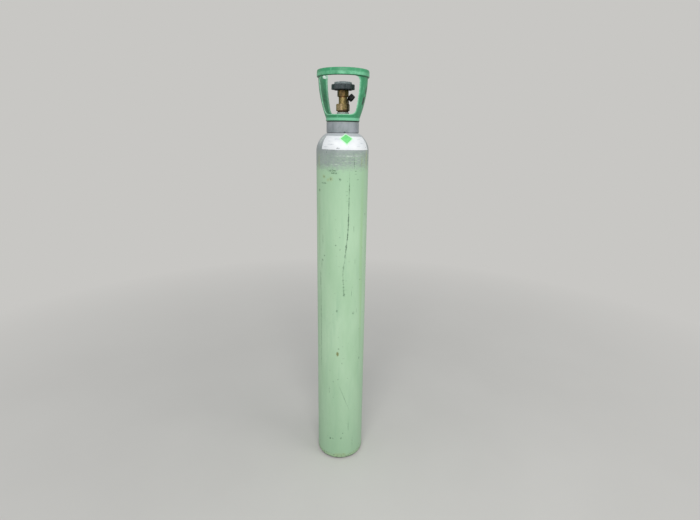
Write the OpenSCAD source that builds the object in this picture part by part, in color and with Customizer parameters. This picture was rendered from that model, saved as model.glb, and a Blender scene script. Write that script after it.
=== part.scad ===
// Slim high-pressure gas cylinder with a screwed neck ring, a moulded valve guard,
// a handwheel valve and a tethered dust cap. Millimetres, +Z up, origin at the
// centre of the foot. A bearing of 0 degrees faces -Y, and bearings grow towards +X.

/* [Cylinder] */
// Outside diameter of the steel shell
shell_od = 140; // [110:1:200]
// Wall thickness of the straight sides
shell_wall = 4.2; // [3:0.1:8]
// Height from the floor to where the shoulder starts
side_h = 941; // [500:1:1300]
// Radius of the shoulder's knuckle
knuckle_r = 52; // [40:1:53]
// How much the crown's radius exceeds the shell's
crown_over = 10; // [5:1:25]
// Radius of the rounded edge of the foot
foot_edge_r = 10; // [4:0.5:14]
// Depth of the dished hollow under the base
base_dish_h = 10; // [3:0.5:14]
// Width of the flat rim that the cylinder stands on
foot_rim_w = 10; // [5:1:20]
// Thickness of the base at its centre
base_t = 12; // [8:0.5:20]

/* [Neck] */
// Outside diameter of the shell's neck
neck_od = 62; // [54:1:64]
// Height from the foot of the neck ring to the neck's top
neck_h = 44; // [36:1:60]
// Large radius of the tapered valve thread
inlet_r = 13.9; // [12:0.1:15]
// Length of the tapered valve thread
inlet_len = 28; // [20:1:34]
// Radius lost along the tapered thread
inlet_taper = 1.7; // [0.5:0.1:2.5]
// Outside diameter of the neck ring's plain collar
collar_od = 85.6; // [84:0.2:92]
// Height of the plain collar
collar_h = 27.7; // [18:0.1:32]
// Diameter of the neck ring's outer thread
ring_thread_d = 80; // [70:0.5:82]

/* [Valve guard] */
// Height of the plain band at the guard's foot
band_h = 9; // [5:0.5:14]
// Radius of that band
band_r = 44.2; // [43.8:0.1:50]
// Radius of the posts under the top ring
post_r = 63.6; // [56:0.1:72]
// Wall thickness of the posts
post_t = 4; // [2.5:0.1:6]
// How quickly the tulip curve reaches its full width
tulip_power = 1.9; // [1:0.1:3]
// Height from the guard's foot to the windows
sill_h = 17; // [13:0.5:26]
// Height from the guard's foot to the top ring
ring_z = 106.5; // [96:0.5:130]
// Height of the top ring
ring_h = 17.3; // [8:0.1:26]
// Outside radius of the top ring
ring_r = 67.5; // [60:0.1:76]
// Bearing that the front window faces
guard_bearing = -13.5; // [-180:0.5:180]
// Angle that one window spans
window_angle = 109; // [80:1:120]
// Radius of the windows' corners
window_corner = 12; // [4:1:16]

/* [Valve] */
// Height of the wrench hexagon
hex_h = 18; // [12:0.5:24]
// Size of the wrench hexagon across its flats
hex_af = 32.5; // [28:0.5:34]
// Plain stem between the neck and the hexagon
stem_h = 10; // [8.5:0.5:16]
// Radius of the valve's round neck
valve_neck_r = 11.05; // [10.8:0.05:13]
// Height of the valve's round neck
valve_neck_h = 16; // [15.5:0.5:24]
// Height of the gland nut above the valve's neck
gland_h = 16.5; // [12:0.5:24]
// Size of the gland nut across its flats
gland_af = 27; // [24:0.5:30]
// Bearing that the outlet faces
outlet_bearing = 166.5; // [-180:0.5:180]
// Radius of the outlet's thread
outlet_r = 7.6; // [7:0.01:10.9]
// Length of the outlet's thread
outlet_len = 13; // [9:0.5:18]
// Radius of the gas passages
passage_r = 3; // [2:0.1:3.5]
// Radius of the upper spindle
spindle_r = 4.5; // [3.5:0.1:5]
// Radius of the lower spindle
seat_carrier_r = 8; // [6.5:0.1:8.2]
// How far the lower spindle lifts
lift = 3.5; // [2:0.1:4]

/* [Handwheel] */
// Radius over the lobes
wheel_r = 30; // [24:0.5:36]
// Height of the lobed rim
wheel_rim_h = 13.5; // [8:0.5:16]
// Radius of the raised crown on top
wheel_crown_r = 22.8; // [18:0.2:23]
// Height of the raised crown
wheel_crown_h = 5; // [2:0.5:8]
// Number of lobes
wheel_lobes = 8; // [5:1:12]
// Radius of one lobe
lobe_r = 6.5; // [4:0.5:8]

/* [Dust cap] */
// Radius of the tether's ring
tether_ring_r = 11; // [9.5:0.5:13]
// Depth of the cap
cap_depth = 12; // [9:0.5:18]
// Wall of the cap
cap_wall = 1.1; // [0.8:0.1:2]
// Angle of the tether above the horizontal
tether_angle = 48; // [20:1:55]
// Distance of the cap's centre outside the gland nut's corners
cap_out = 6.3; // [5.5:0.1:9]

/* [Labels] */
// Bearing of the shoulder label's left edge
label_from = -53; // [-90:1:0]
// Bearing of the shoulder label's right edge
label_to = 75; // [10:1:120]
// Height of the label's lower edge above the shoulder's start
label_low = 6; // [1:0.5:12]
// Height of the label's upper edge above the shoulder's start
label_high = 40; // [20:0.5:43]
// Side of the square hazard label
diamond_side = 26.8; // [15:0.2:28]
// Bearing of the hazard label's centre
diamond_bearing = 10.8; // [-40:0.2:60]
// Height of the hazard label's centre above the shoulder's start
diamond_h = 33; // [24:0.5:34]
// Thickness of each label
label_t = 0.25; // [0.1:0.05:0.4]

/* [Hidden] */
$fn = 96;
eps = 0.01;
run = 0.05;
skin_gap = 0.05;
thread_gap = 0.05;
shell_r = shell_od / 2;
bore_r = shell_r - shell_wall;
base_dish_r = shell_r - foot_edge_r - foot_rim_w;

// Shoulder: a knuckle circle and a crown circle that meet tangentially
knuckle_x = shell_r - knuckle_r;
crown_r = shell_r + crown_over;
crown_z = side_h - sqrt(pow(crown_r - knuckle_r, 2) - pow(knuckle_x, 2));
meet_z = crown_z + crown_r * (side_h - crown_z) / (crown_r - knuckle_r);
meet_r = knuckle_x * crown_r / (crown_r - knuckle_r);
function shoulder_height(r) = r <= meet_r
    ? crown_z + sqrt(pow(crown_r, 2) - r * r)
    : side_h + sqrt(pow(knuckle_r, 2) - pow(r - knuckle_x, 2));
function shoulder_r(z) = z <= meet_z
    ? knuckle_x + sqrt(pow(knuckle_r, 2) - pow(z - side_h, 2))
    : sqrt(pow(crown_r, 2) - pow(z - crown_z, 2));

// Neck stack
collar_z = shoulder_height(collar_od / 2) + 1.6;
neck_top = collar_z + neck_h;
neck_r = neck_od / 2;
ring_thread_r = ring_thread_d / 2;
guard_z = collar_z + collar_h + 0.6;
thread_top = neck_top + 1;

// Guard
foot_bore_r = ring_thread_r + thread_gap;
ring_bottom = guard_z + ring_z;
sill_z = guard_z + sill_h;
lip_z = sill_z - 3;
function tulip(z) =
    let (t = min(1, max(0, (z - guard_z - band_h) / (ring_z - band_h))))
    band_r + 0.3 + (post_r - band_r - 0.3) * (1 - pow(1 - t, tulip_power));
function steps(a, b, n) = [for (i = [0:n]) a + (b - a) * i / n];
function bend(a, b, c, n) = [for (t = steps(0, 1, n)) (1 - t) * (1 - t) * a + 2 * t * (1 - t) * b + t * t * c];

// Guard's lock screws
screw_r = 3;
screw_len = 4;
screw_z = guard_z + band_h / 2;
screw_spread = 30;

// Valve stack
date_ring_h = 6;
date_ring_r = 15.8;
date_ring_z = neck_top + 1.2;
hex_z = neck_top + stem_h;
neck_z = hex_z + hex_h;
gland_z = neck_z + valve_neck_h;
gasket_t = 1;
outlet_z = neck_z + 4.5;
wheel_z = gland_z + gasket_t + gland_h + 0.4;
gland_corner_r = gland_af / sqrt(3) - 0.6;
wheel_top = wheel_z + wheel_rim_h + wheel_crown_h;

// Inside the valve
seat_z = neck_z - 1.3;
chamber_z = seat_z - 3.2;
seat_boss_r = 4.4;
disc_r = 5.2;
disc_t = 2.5;
carrier_z = seat_z + 1.2;
gland_thread_r = 9.5;
gland_foot = gland_z - 3.3;
carrier_top = gland_foot - 0.5 - lift;
socket_af = 6.6;
tang_af = 6.3;
socket_z = seat_z + disc_t + 1;
tang_z = socket_z + lift + 0.4;
flange_r = 6;
flange_t = 2;
thrust_t = 1.2;
flange_z = gland_foot + 0.3;
flange_bore = flange_r + 0.3;
oring_r = 0.8;
oring_z = gland_z + 6;
square_af = 7;
stud_r = 3;
stud_top = wheel_top + 1.4;

// Outlet: boss, groove for the tether, thread
boss_r = 10;
boss_x = hex_af / sqrt(3) - 0.3;
groove_r = 6.8;
groove_len = 4;
outlet_end = boss_x + groove_len + outlet_len;
passage_drop = outlet_z - chamber_z - passage_r + 0.2;
passage_slope = -atan(passage_drop / (outlet_end - seat_boss_r - 1));
drill_len = norm([outlet_end - seat_boss_r - 1, passage_drop]);

// Dust cap
cap_r = outlet_r + run + cap_wall;
cap_gap = 0.4;
cap_along = tether_ring_r + cap_gap + cap_r;
cap_across = cap_depth / 2 - 1.7;
strap_w = 6;

// Top of the handwheel
dish_r = 16;
dish_z = wheel_top - 6;
wheel_bore_af = square_af + 0.15;

// Turns a child that faces -Y to a bearing
module facing(bearing) {
    rotate([0, 0, bearing]) children();
}

// Lays a child that is built along +Z so that it runs outwards along -Y
module outwards(z) {
    translate([0, 0, z]) rotate([90, 0, 0]) children();
}

module hexagon(af, h) {
    cylinder(h = h, r = af / sqrt(3), $fn = 6);
}

module square_bar(side, h) {
    translate([-side / 2, -side / 2, 0]) cube([side, side, h]);
}

module ring(r_out, r_in, h) {
    difference() {
        cylinder(h = h, r = r_out);
        translate([0, 0, -1]) cylinder(h = h + 2, r = r_in);
    }
}

// Half section of the shell's outside, up to the shoulder's crown
module shell_outline() {
    difference() {
        union() {
            translate([0, foot_edge_r]) square([shell_r, side_h - foot_edge_r]);
            square([shell_r - foot_edge_r, side_h]);
            translate([shell_r - foot_edge_r, foot_edge_r]) circle(r = foot_edge_r);
            intersection() {
                translate([knuckle_x, side_h]) circle(r = knuckle_r);
                translate([0, side_h]) square([shell_r, meet_z - side_h]);
            }
            intersection() {
                translate([0, crown_z]) circle(r = crown_r);
                translate([0, meet_z - eps]) square([shell_r, crown_r]);
            }
            translate([0, side_h]) square([neck_r, neck_top - side_h]);
        }
        dish_ball_r = (pow(base_dish_r, 2) + pow(base_dish_h, 2)) / (2 * base_dish_h);
        translate([0, base_dish_h - dish_ball_r]) circle(r = dish_ball_r);
    }
}

// Half section of the gas space
module gas_space() {
    floor_z = base_dish_h + base_t;
    corner = 24;
    knuckle_in = knuckle_r - shell_wall;
    crown_in = crown_r - 2.2 * shell_wall;
    translate([0, floor_z]) square([bore_r - corner, side_h - floor_z]);
    translate([0, floor_z + corner]) square([bore_r, side_h - floor_z - corner]);
    translate([bore_r - corner, floor_z + corner]) circle(r = corner);
    intersection() {
        union() {
            translate([knuckle_x, side_h]) circle(r = knuckle_in);
            translate([0, side_h]) square([knuckle_x, knuckle_in]);
        }
        translate([0, crown_z]) circle(r = crown_in);
        translate([0, side_h - eps]) square([bore_r, crown_r]);
    }
}

module cylinder_shell() {
    color("#a9cdab")
    difference() {
        rotate_extrude() intersection() {
            difference() {
                shell_outline();
                gas_space();
            }
            square([shell_r, neck_top]);
        }
        translate([0, 0, neck_top - inlet_len])
            cylinder(h = inlet_len + eps, r1 = inlet_r - inlet_taper, r2 = inlet_r);
        translate([0, 0, side_h])
            cylinder(h = neck_top - inlet_len - side_h + eps, r = inlet_r - inlet_taper);
    }
}

module neck_ring() {
    skirt_r = collar_od / 2 - 2;
    skirt_z = shoulder_height(skirt_r) + 1;
    throat_z = shoulder_height(neck_r) + 8;
    color("#949c9e")
    rotate_extrude() polygon([
        [collar_od / 2, collar_z + 0.8], [collar_od / 2, collar_z + collar_h - 1],
        [collar_od / 2 - 1, collar_z + collar_h], [ring_thread_r, collar_z + collar_h],
        [ring_thread_r, thread_top - 1], [ring_thread_r - 1, thread_top],
        [neck_r + 0.6, thread_top], [neck_r + run, thread_top - 0.6], [neck_r + run, throat_z],
        [skirt_r, skirt_z], [collar_od / 2 - 0.8, collar_z]]);
}

// Half section of the guard, with the tulip curve inside and out
module guard_section() {
    zs = steps(guard_z + band_h, ring_bottom, 14);
    lip = steps(lip_z, ring_bottom, 12);
    top = ring_bottom + ring_h;
    inner_top = tulip(ring_bottom) - post_t;
    soft = 2.4;
    polygon(concat(
        [[foot_bore_r, guard_z], [band_r - 0.8, guard_z], [band_r, guard_z + 0.8],
         [band_r, guard_z + band_h - 0.4]],
        [for (z = zs) [tulip(z), z]],
        bend([ring_r - soft, ring_bottom], [ring_r, ring_bottom], [ring_r, ring_bottom + soft], 4),
        bend([ring_r, top - soft], [ring_r, top], [ring_r - soft, top], 4),
        bend([inner_top + soft, top], [inner_top, top], [inner_top, top - soft], 4),
        [for (i = [len(lip) - 1:-1:0]) [tulip(lip[i]) - post_t, lip[i]]],
        [[foot_bore_r, lip_z]]));
}

// One window, drawn flat: its sides follow the tulip curve
module window_outline(open_top) {
    low = sill_z;
    high = ring_bottom - 0.6;
    c = window_corner;
    half = window_angle / 2;
    edge = [for (z = steps(low + c, high - c, 8)) [tulip(z) * sin(half), z]];
    low_s = tulip(low) * sin(half);
    high_s = tulip(high) * sin(half);
    top_z = high + ring_h + 5;
    last = len(edge) - 1;
    side = concat(
        bend([low_s - c, low], [low_s, low], edge[0], 6),
        [for (i = [1:last - 1]) edge[i]],
        open_top ? [edge[last], [high_s, high], [high_s + 0.01, top_z]]
                 : bend(edge[last], [high_s, high], [high_s - c, high], 6));
    polygon(concat(side, [for (i = [len(side) - 1:-1:0]) [-side[i][0], side[i][1]]]));
}

module window(bearing, open_top) {
    facing(bearing) outwards(0) translate([0, 0, foot_bore_r / 2])
        linear_extrude(height = ring_r) window_outline(open_top);
}

module valve_guard() {
    color("#5aab80")
    difference() {
        rotate_extrude() guard_section();
        window(guard_bearing, false);
        window(guard_bearing + 180, true);
        for (side = [-1, 1])
            facing(guard_bearing + 180 + side * screw_spread)
                outwards(screw_z) translate([0, 0, ring_thread_r - 2]) cylinder(h = 10, r = screw_r);
    }
}

module guard_lock_screws() {
    color("#6f7376")
    for (side = [-1, 1])
        facing(guard_bearing + 180 + side * screw_spread)
            outwards(screw_z) translate([0, 0, foot_bore_r + 0.1])
                difference() {
                    cylinder(h = screw_len, r = screw_r - run);
                    translate([0, 0, screw_len - 2]) hexagon(3, 3);
                }
}

module test_date_ring() {
    color("#8e9c93")
    translate([0, 0, date_ring_z]) ring(date_ring_r, inlet_r + 0.1, date_ring_h);
}

// Forged brass body with its stem, hexagon, neck and side outlet
module valve_body() {
    color("#a8915a")
    difference() {
        union() {
            translate([0, 0, neck_top - inlet_len])
                cylinder(h = inlet_len, r1 = inlet_r - inlet_taper - run, r2 = inlet_r - run);
            translate([0, 0, neck_top]) cylinder(h = stem_h + 1, r = inlet_r - run);
            intersection() {
                facing(guard_bearing) rotate([0, 0, 30])
                    translate([0, 0, hex_z]) hexagon(hex_af, hex_h);
                translate([0, 0, hex_z]) chamfered(hex_af / sqrt(3) - 0.8, hex_h, 2);
            }
            translate([0, 0, neck_z - 1]) cylinder(h = valve_neck_h + 1, r = valve_neck_r);
            facing(outlet_bearing) outwards(outlet_z) {
                cylinder(h = boss_x, r = boss_r);
                cylinder(h = outlet_end - 1, r = groove_r);
                translate([0, 0, boss_x + groove_len]) chamfered(outlet_r, outlet_len, 1);
            }
        }
        translate([0, 0, neck_top - inlet_len - 1])
            cylinder(h = seat_z - neck_top + inlet_len + 2, r = passage_r);
        difference() {
            translate([0, 0, chamber_z]) cylinder(h = gland_z - chamber_z + 1, r = seat_carrier_r);
            translate([0, 0, chamber_z - 1]) cylinder(h = seat_z - chamber_z + 1, r = seat_boss_r);
        }
        translate([0, 0, gland_foot - 0.3])
            cylinder(h = gland_z - gland_foot + 1, r = gland_thread_r);
        facing(outlet_bearing) outwards(outlet_z) {
            translate([0, 0, outlet_end]) rotate([passage_slope, 0, 0])
                translate([0, 0, -drill_len]) cylinder(h = drill_len + 2, r = passage_r);
            translate([0, 0, outlet_end - 4]) cylinder(h = 5, r1 = passage_r, r2 = outlet_r - 1.6);
        }
    }
}

// A plain cylinder with both ends chamfered
module chamfered(r, h, c) {
    rotate_extrude() polygon([[0, 0], [r - c, 0], [r, c], [r, h - c], [r - c, h], [0, h]]);
}

module gland_gasket() {
    color("#b5713f")
    translate([0, 0, gland_z]) ring(valve_neck_r + 0.6, gland_thread_r, gasket_t);
}

module gland_nut() {
    z = gland_z + gasket_t;
    color("#94804d")
    difference() {
        union() {
            translate([0, 0, gland_foot])
                cylinder(h = z - gland_foot + 1, r = gland_thread_r - thread_gap);
            intersection() {
                facing(guard_bearing) translate([0, 0, z]) hexagon(gland_af, gland_h);
                translate([0, 0, z]) chamfered(gland_corner_r, gland_h, 1.6);
            }
        }
        translate([0, 0, gland_foot - 1])
            cylinder(h = flange_z + flange_t + thrust_t - gland_foot + 1, r = flange_bore);
        translate([0, 0, gland_foot]) cylinder(h = wheel_z, r = spindle_r + run);
    }
}

module thrust_washer() {
    color("#e6e2d6")
    translate([0, 0, flange_z + flange_t]) ring(flange_r, spindle_r, thrust_t);
}

module upper_spindle() {
    color("#b3a98c")
    difference() {
        union() {
            translate([0, 0, tang_z]) square_bar(tang_af, flange_z - tang_z + 1);
            translate([0, 0, flange_z]) cylinder(h = flange_t, r = flange_r);
            translate([0, 0, flange_z]) cylinder(h = wheel_z - flange_z, r = spindle_r);
            intersection() {
                translate([0, 0, wheel_z - 0.5]) square_bar(square_af, dish_z - wheel_z);
                translate([0, 0, wheel_z - 0.5]) cylinder(h = wheel_top, r = spindle_r);
            }
            translate([0, 0, wheel_z]) cylinder(h = stud_top - wheel_z, r = stud_r);
        }
        translate([0, 0, oring_z - 1.1 * oring_r])
            ring(spindle_r + 1, spindle_r - 2 * oring_r, 2.2 * oring_r);
    }
}

module spindle_o_ring() {
    color("#26282a")
    translate([0, 0, oring_z]) rotate_extrude()
        translate([spindle_r - oring_r, 0]) circle(r = oring_r, $fn = 32);
}

module lower_spindle() {
    color("#a8915a")
    difference() {
        translate([0, 0, carrier_z])
            cylinder(h = carrier_top - carrier_z, r = seat_carrier_r - run);
        translate([0, 0, socket_z]) square_bar(socket_af, carrier_top);
        translate([0, 0, carrier_z - 1]) cylinder(h = seat_z + disc_t - carrier_z + 1, r = disc_r);
    }
}

module seat_disc() {
    color("#e9e4d2")
    translate([0, 0, seat_z]) cylinder(h = disc_t, r = disc_r);
}

module handwheel() {
    lobe_x = wheel_r - lobe_r;
    color("#4a5053")
    difference() {
        union() {
            translate([0, 0, wheel_z]) chamfered(wheel_r - 2.4, wheel_rim_h, 1.2);
            for (i = [0:wheel_lobes - 1])
                rotate([0, 0, i * 360 / wheel_lobes]) translate([lobe_x, 0, wheel_z])
                    chamfered(lobe_r, wheel_rim_h, 1.2);
            translate([0, 0, wheel_z + 1])
                chamfered(wheel_crown_r, wheel_rim_h + wheel_crown_h - 1, 1);
        }
        translate([0, 0, dish_z]) cylinder(h = wheel_top, r = dish_r);
        translate([0, 0, wheel_z - 1]) square_bar(wheel_bore_af, wheel_top);
        translate([0, 0, wheel_z - eps]) ring(wheel_r - 6, dish_r, wheel_rim_h - 5);
    }
}

module wheel_washer() {
    color("#b9bcbd")
    translate([0, 0, dish_z]) ring(8, square_af / 2 + 1.6, 1);
}

// A disc spring: a thin cone that is pressed nearly flat
module wheel_spring() {
    color("#8a8d90")
    translate([0, 0, dish_z + 1]) rotate_extrude()
        polygon([[7.4, 0], [7.8, 0.7], [stud_r + 0.9, 1.3], [stud_r + 0.4, 0.6]]);
}

module wheel_nut() {
    color("#c2c5c6")
    translate([0, 0, dish_z + 2.35]) difference() {
        hexagon(10, 3);
        translate([0, 0, -1]) cylinder(h = 5, r = stud_r + run);
    }
}

// Pressed aluminium cover in the wheel's dish
module wheel_cap() {
    color("#c9cdce")
    rotate_extrude() polygon([
        [dish_r - 0.1, wheel_top - 1.2], [dish_r - 0.1, wheel_top],
        [dish_r - 2, wheel_top + 1.2], [6.5, wheel_top + 2.2], [0, wheel_top + 2.2],
        [0, wheel_top + 1.6], [6.2, wheel_top + 1.6], [dish_r - 2.6, wheel_top + 0.5],
        [dish_r - 2.6, wheel_top - 1.2]]);
}

// Soft one-piece moulding: ring round the outlet's groove, short strap and cap
module dust_cap() {
    ring_x = boss_x + 0.3;
    ring_w = groove_len - 0.6;
    strap_from = groove_r + 1;
    color("#232628")
    facing(outlet_bearing) outwards(outlet_z) rotate([0, 0, 180 - tether_angle]) difference() {
        union() {
            translate([0, 0, ring_x]) cylinder(h = ring_w, r = tether_ring_r);
            translate([strap_from, -1.2, ring_x + 0.3])
                cube([cap_along - cap_r + 1.8 - strap_from, strap_w, ring_w - 0.6]);
            at_cap() cylinder(h = cap_depth, r = cap_r);
        }
        at_cap() translate([0, 0, 1.5]) cylinder(h = cap_depth, r = cap_r - cap_wall);
        cylinder(h = outlet_end, r = groove_r + run);
    }
}

// Places a child built along +Z on the cap's axis, which lies across the tether
module at_cap() {
    translate([cap_along, cap_across - cap_depth / 2, gland_corner_r + cap_out])
        rotate([-90, 0, 0]) children();
}

// Skin that follows the shoulder, from one height to another above a gap
module shoulder_skin(low, high, gap, thick) {
    zs = steps(side_h + low, side_h + high, 24);
    rotate_extrude(angle = label_to - label_from) polygon(concat(
        [for (z = zs) skin_point(z, gap)],
        [for (i = [len(zs) - 1:-1:0]) skin_point(zs[i], gap + thick)]));
}

// A point at a distance outside the shoulder's surface
function skin_point(z, d) =
    let (c = z <= meet_z ? [knuckle_x, side_h] : [0, crown_z],
         r = z <= meet_z ? knuckle_r : crown_r,
         a = asin((z - c[1]) / r))
    [c[0] + (r + d) * cos(a), c[1] + (r + d) * sin(a)];

module shoulder_label() {
    color("#eef0f0")
    rotate([0, 0, label_from - 90]) shoulder_skin(label_low, label_high, skin_gap, label_t);
}

module hazard_label() {
    z = side_h + diamond_h;
    r = shoulder_r(z);
    tilt = asin((z - side_h) / knuckle_r);
    color("#7ddc86")
    intersection() {
        rotate([0, 0, label_from - 90])
            shoulder_skin(diamond_h - 22, diamond_h + 20, 2 * skin_gap + label_t, label_t);
        facing(diamond_bearing) translate([0, -r, z]) rotate([90 - tilt, 0, 0])
            rotate([0, 0, 45]) translate([0, 0, -6]) square_bar(diamond_side, 12);
    }
}

cylinder_shell();
neck_ring();
valve_guard();
guard_lock_screws();
test_date_ring();
valve_body();
gland_gasket();
gland_nut();
thrust_washer();
upper_spindle();
spindle_o_ring();
lower_spindle();
seat_disc();
handwheel();
wheel_washer();
wheel_spring();
wheel_nut();
wheel_cap();
dust_cap();
shoulder_label();
hazard_label();
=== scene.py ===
import math

import bmesh
import bpy
import numpy as np
from mathutils import Matrix, Vector


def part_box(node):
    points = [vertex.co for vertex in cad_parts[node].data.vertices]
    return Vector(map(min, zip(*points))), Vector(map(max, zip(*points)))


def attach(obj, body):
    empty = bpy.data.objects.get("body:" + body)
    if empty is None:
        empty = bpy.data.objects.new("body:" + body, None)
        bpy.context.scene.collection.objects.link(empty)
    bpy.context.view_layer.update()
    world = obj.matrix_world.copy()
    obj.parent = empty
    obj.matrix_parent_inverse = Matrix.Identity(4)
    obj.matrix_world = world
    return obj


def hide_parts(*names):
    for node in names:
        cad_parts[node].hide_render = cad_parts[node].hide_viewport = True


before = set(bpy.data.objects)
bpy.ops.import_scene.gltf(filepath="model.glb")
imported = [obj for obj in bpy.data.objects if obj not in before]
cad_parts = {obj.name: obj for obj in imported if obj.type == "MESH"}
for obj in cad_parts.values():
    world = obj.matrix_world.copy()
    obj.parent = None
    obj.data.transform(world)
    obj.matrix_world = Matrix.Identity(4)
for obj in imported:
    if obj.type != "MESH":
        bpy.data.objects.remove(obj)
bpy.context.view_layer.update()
MM = 0.001


# ---------------------------------------------------------------- studio
# The camera stands at chest height and looks down along the cylinder, rolled by less
# than a degree. The pale floor fades into a backdrop of the same tone.
def linear(code):
    """Turns an sRGB hex value into linear red, green, blue and alpha."""
    parts = [int(code[i:i + 2], 16) / 255 for i in (1, 3, 5)]
    return [c / 12.92 if c < 0.04045 else ((c + 0.055) / 1.055) ** 2.4 for c in parts] + [1.0]


def adder(tree):
    """Empties a tree and gives the function that adds a node to it. Plain values fill the node's inputs
    in order. A setting fills the input of its name if it starts with a capital, and otherwise the
    property. An input takes a number, a hex colour, or the node or output that it is linked from."""
    def add(kind, *values, **settings):
        made = tree.nodes.new("ShaderNode" + kind)
        filled = dict(enumerate(values))
        for name, value in settings.items():
            if name[0].isupper():
                filled[name.replace("_", " ")] = value
            else:
                setattr(made, name, value)
        for key, value in filled.items():
            if isinstance(value, bpy.types.Node):
                value = value.outputs[0]
            if isinstance(value, bpy.types.NodeSocket):
                tree.links.new(value, made.inputs[key])
            else:
                made.inputs[key].default_value = linear(value) if isinstance(value, str) else value
        return made
    tree.nodes.clear()
    return add


def new_finish(name):
    """An empty material, and the function that adds its nodes."""
    material = bpy.data.materials.new(name)
    material.use_nodes = True
    return material, adder(material.node_tree)


camera_data = bpy.data.cameras.new("camera")
camera_data.sensor_width = 36.0
camera_data.lens = 21.77
camera_data.clip_end = 60.0
camera = bpy.data.objects.new("camera", camera_data)
camera.matrix_world = (Matrix.Translation((0.0244, -1.1731, 0.9877))
                       @ Matrix.Rotation(math.radians(90 - 16.66), 4, "X")
                       @ Matrix.Rotation(math.radians(0.845), 4, "Z"))
bpy.context.scene.collection.objects.link(camera)
bpy.context.scene.camera = camera

FLOOR_R = 40.0
BACKDROP = "#c8c7c4"
FADE_FROM, FADE_TO = 0.4, 2.2
floor_turn = np.linspace(0, 2 * math.pi, 96, endpoint=False)
floor_mesh = bpy.data.meshes.new("studio_floor")
floor_mesh.from_pydata([(FLOOR_R * math.cos(t), FLOOR_R * math.sin(t), 0.0) for t in floor_turn], [],
                       [tuple(range(len(floor_turn)))])
floor = bpy.data.objects.new("studio_floor", floor_mesh)
bpy.context.scene.collection.objects.link(floor)
floor_finish, add = new_finish("matt painted studio floor")
spot = add("TexCoord").outputs["Object"]
cloud = add("TexNoise", Vector=spot, Scale=2.2, Detail=5.0)
tone = add("MixRGB", add("MapRange", cloud, 0.3, 0.7), "#cfcdc8", "#d4d2cd")
paint = add("BsdfPrincipled", Base_Color=tone, Roughness=0.9)
away = add("VectorMath", spot, operation="LENGTH").outputs["Value"]
fade = add("MapRange", away, FADE_FROM, FADE_TO)
add("OutputMaterial", add("MixShader", fade, paint, add("Emission", Color=BACKDROP)))
floor_mesh.materials.append(floor_finish)

# Light comes from an even sky; the camera, gloss and glass see a pale backdrop instead
world = bpy.data.worlds.new("studio")
world.use_nodes = True
add = adder(world.node_tree)
rays = add("LightPath")
seen = add("Math", rays.outputs["Is Camera Ray"], rays.outputs["Is Glossy Ray"], operation="MAXIMUM")
seen = add("Math", seen, rays.outputs["Is Transmission Ray"], operation="MAXIMUM")
even_sky = add("Background", Color="#f2f6fa", Strength=0.46)
backdrop = add("Background", Color=BACKDROP, Strength=1.0)
add("OutputWorld", add("MixShader", seen, even_sky, backdrop))
bpy.context.scene.world = world

for lamp_name, place, aim, size, power in (
        ("soft_front", (-0.1, -2.7, 2.7), (0, 0, 0.75), 2.2, 70.0),
        ("soft_right", (2.4, -1.2, 2.2), (0, 0, 0.8), 1.6, 17.0)):
    lamp_data = bpy.data.lights.new(lamp_name, "AREA")
    lamp_data.shape = "SQUARE"
    lamp_data.size = size
    lamp_data.energy = power
    lamp = bpy.data.objects.new(lamp_name, lamp_data)
    lamp.location = place
    towards = np.array(aim) - np.array(place)
    lamp.rotation_mode = "QUATERNION"
    lamp.rotation_quaternion = Vector(towards).to_track_quat("-Z", "Y")
    bpy.context.scene.collection.objects.link(lamp)
bpy.context.scene.view_settings.view_transform = "Standard"


# ---------------------------------------------------------------- steel shell
# A seamless steel bottle: drawn side, hot-spun shoulder and neck, pressed dished base.
# It is sprayed pale green all over and grey on the shoulder, and has stood outdoors.
def steps(a, b, n):
    """n + 1 even values from a to b."""
    return np.linspace(a, b, n + 1)


def arc(cx, cz, radius, a, b, n):
    """Points of a circle's arc from angle a to b in degrees, as radius and height."""
    turn = np.radians(steps(a, b, n))
    return np.stack([cx + radius * np.cos(turn), cz + radius * np.sin(turn)], -1)


def line(a, b, n):
    """n + 1 even points from a to b."""
    return np.stack([steps(a[0], b[0], n), steps(a[1], b[1], n)], -1)


def turned(profile, around=192):
    """A profile of radius and height, carried round the Z axis: x = r sin(t), y = -r cos(t).
    The map is arc length at the shell's radius across, and height up, both in metres."""
    turn = steps(-math.pi, math.pi, around)
    r, z = profile[:, 0:1], profile[:, 1:2]
    points = np.stack([r * np.sin(turn), -r * np.cos(turn), z + 0 * turn], -1)
    return points * MM, np.stack([0 * r + turn * SHELL_R * MM, z * MM + 0 * turn], -1)


# Points of a mesh that are nearer to each other than this, in metres, are merged
WELD = 2e-6


def face_out(work):
    """Turns every closed shell of a mesh so that its faces point out. Its volume, a third of the sum
    of each face's area times its height over the origin, is then positive."""
    bmesh.ops.recalc_face_normals(work, faces=work.faces)
    work.normal_update()
    unseen = set(work.faces)
    while unseen:
        joined = [unseen.pop()]
        for face in joined:
            near = {other for edge in face.edges for other in edge.link_faces} & unseen
            unseen -= near
            joined += near
        if sum(face.calc_center_median().dot(face.normal) * face.calc_area() for face in joined) < 0:
            bmesh.ops.reverse_faces(work, faces=joined)


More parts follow.
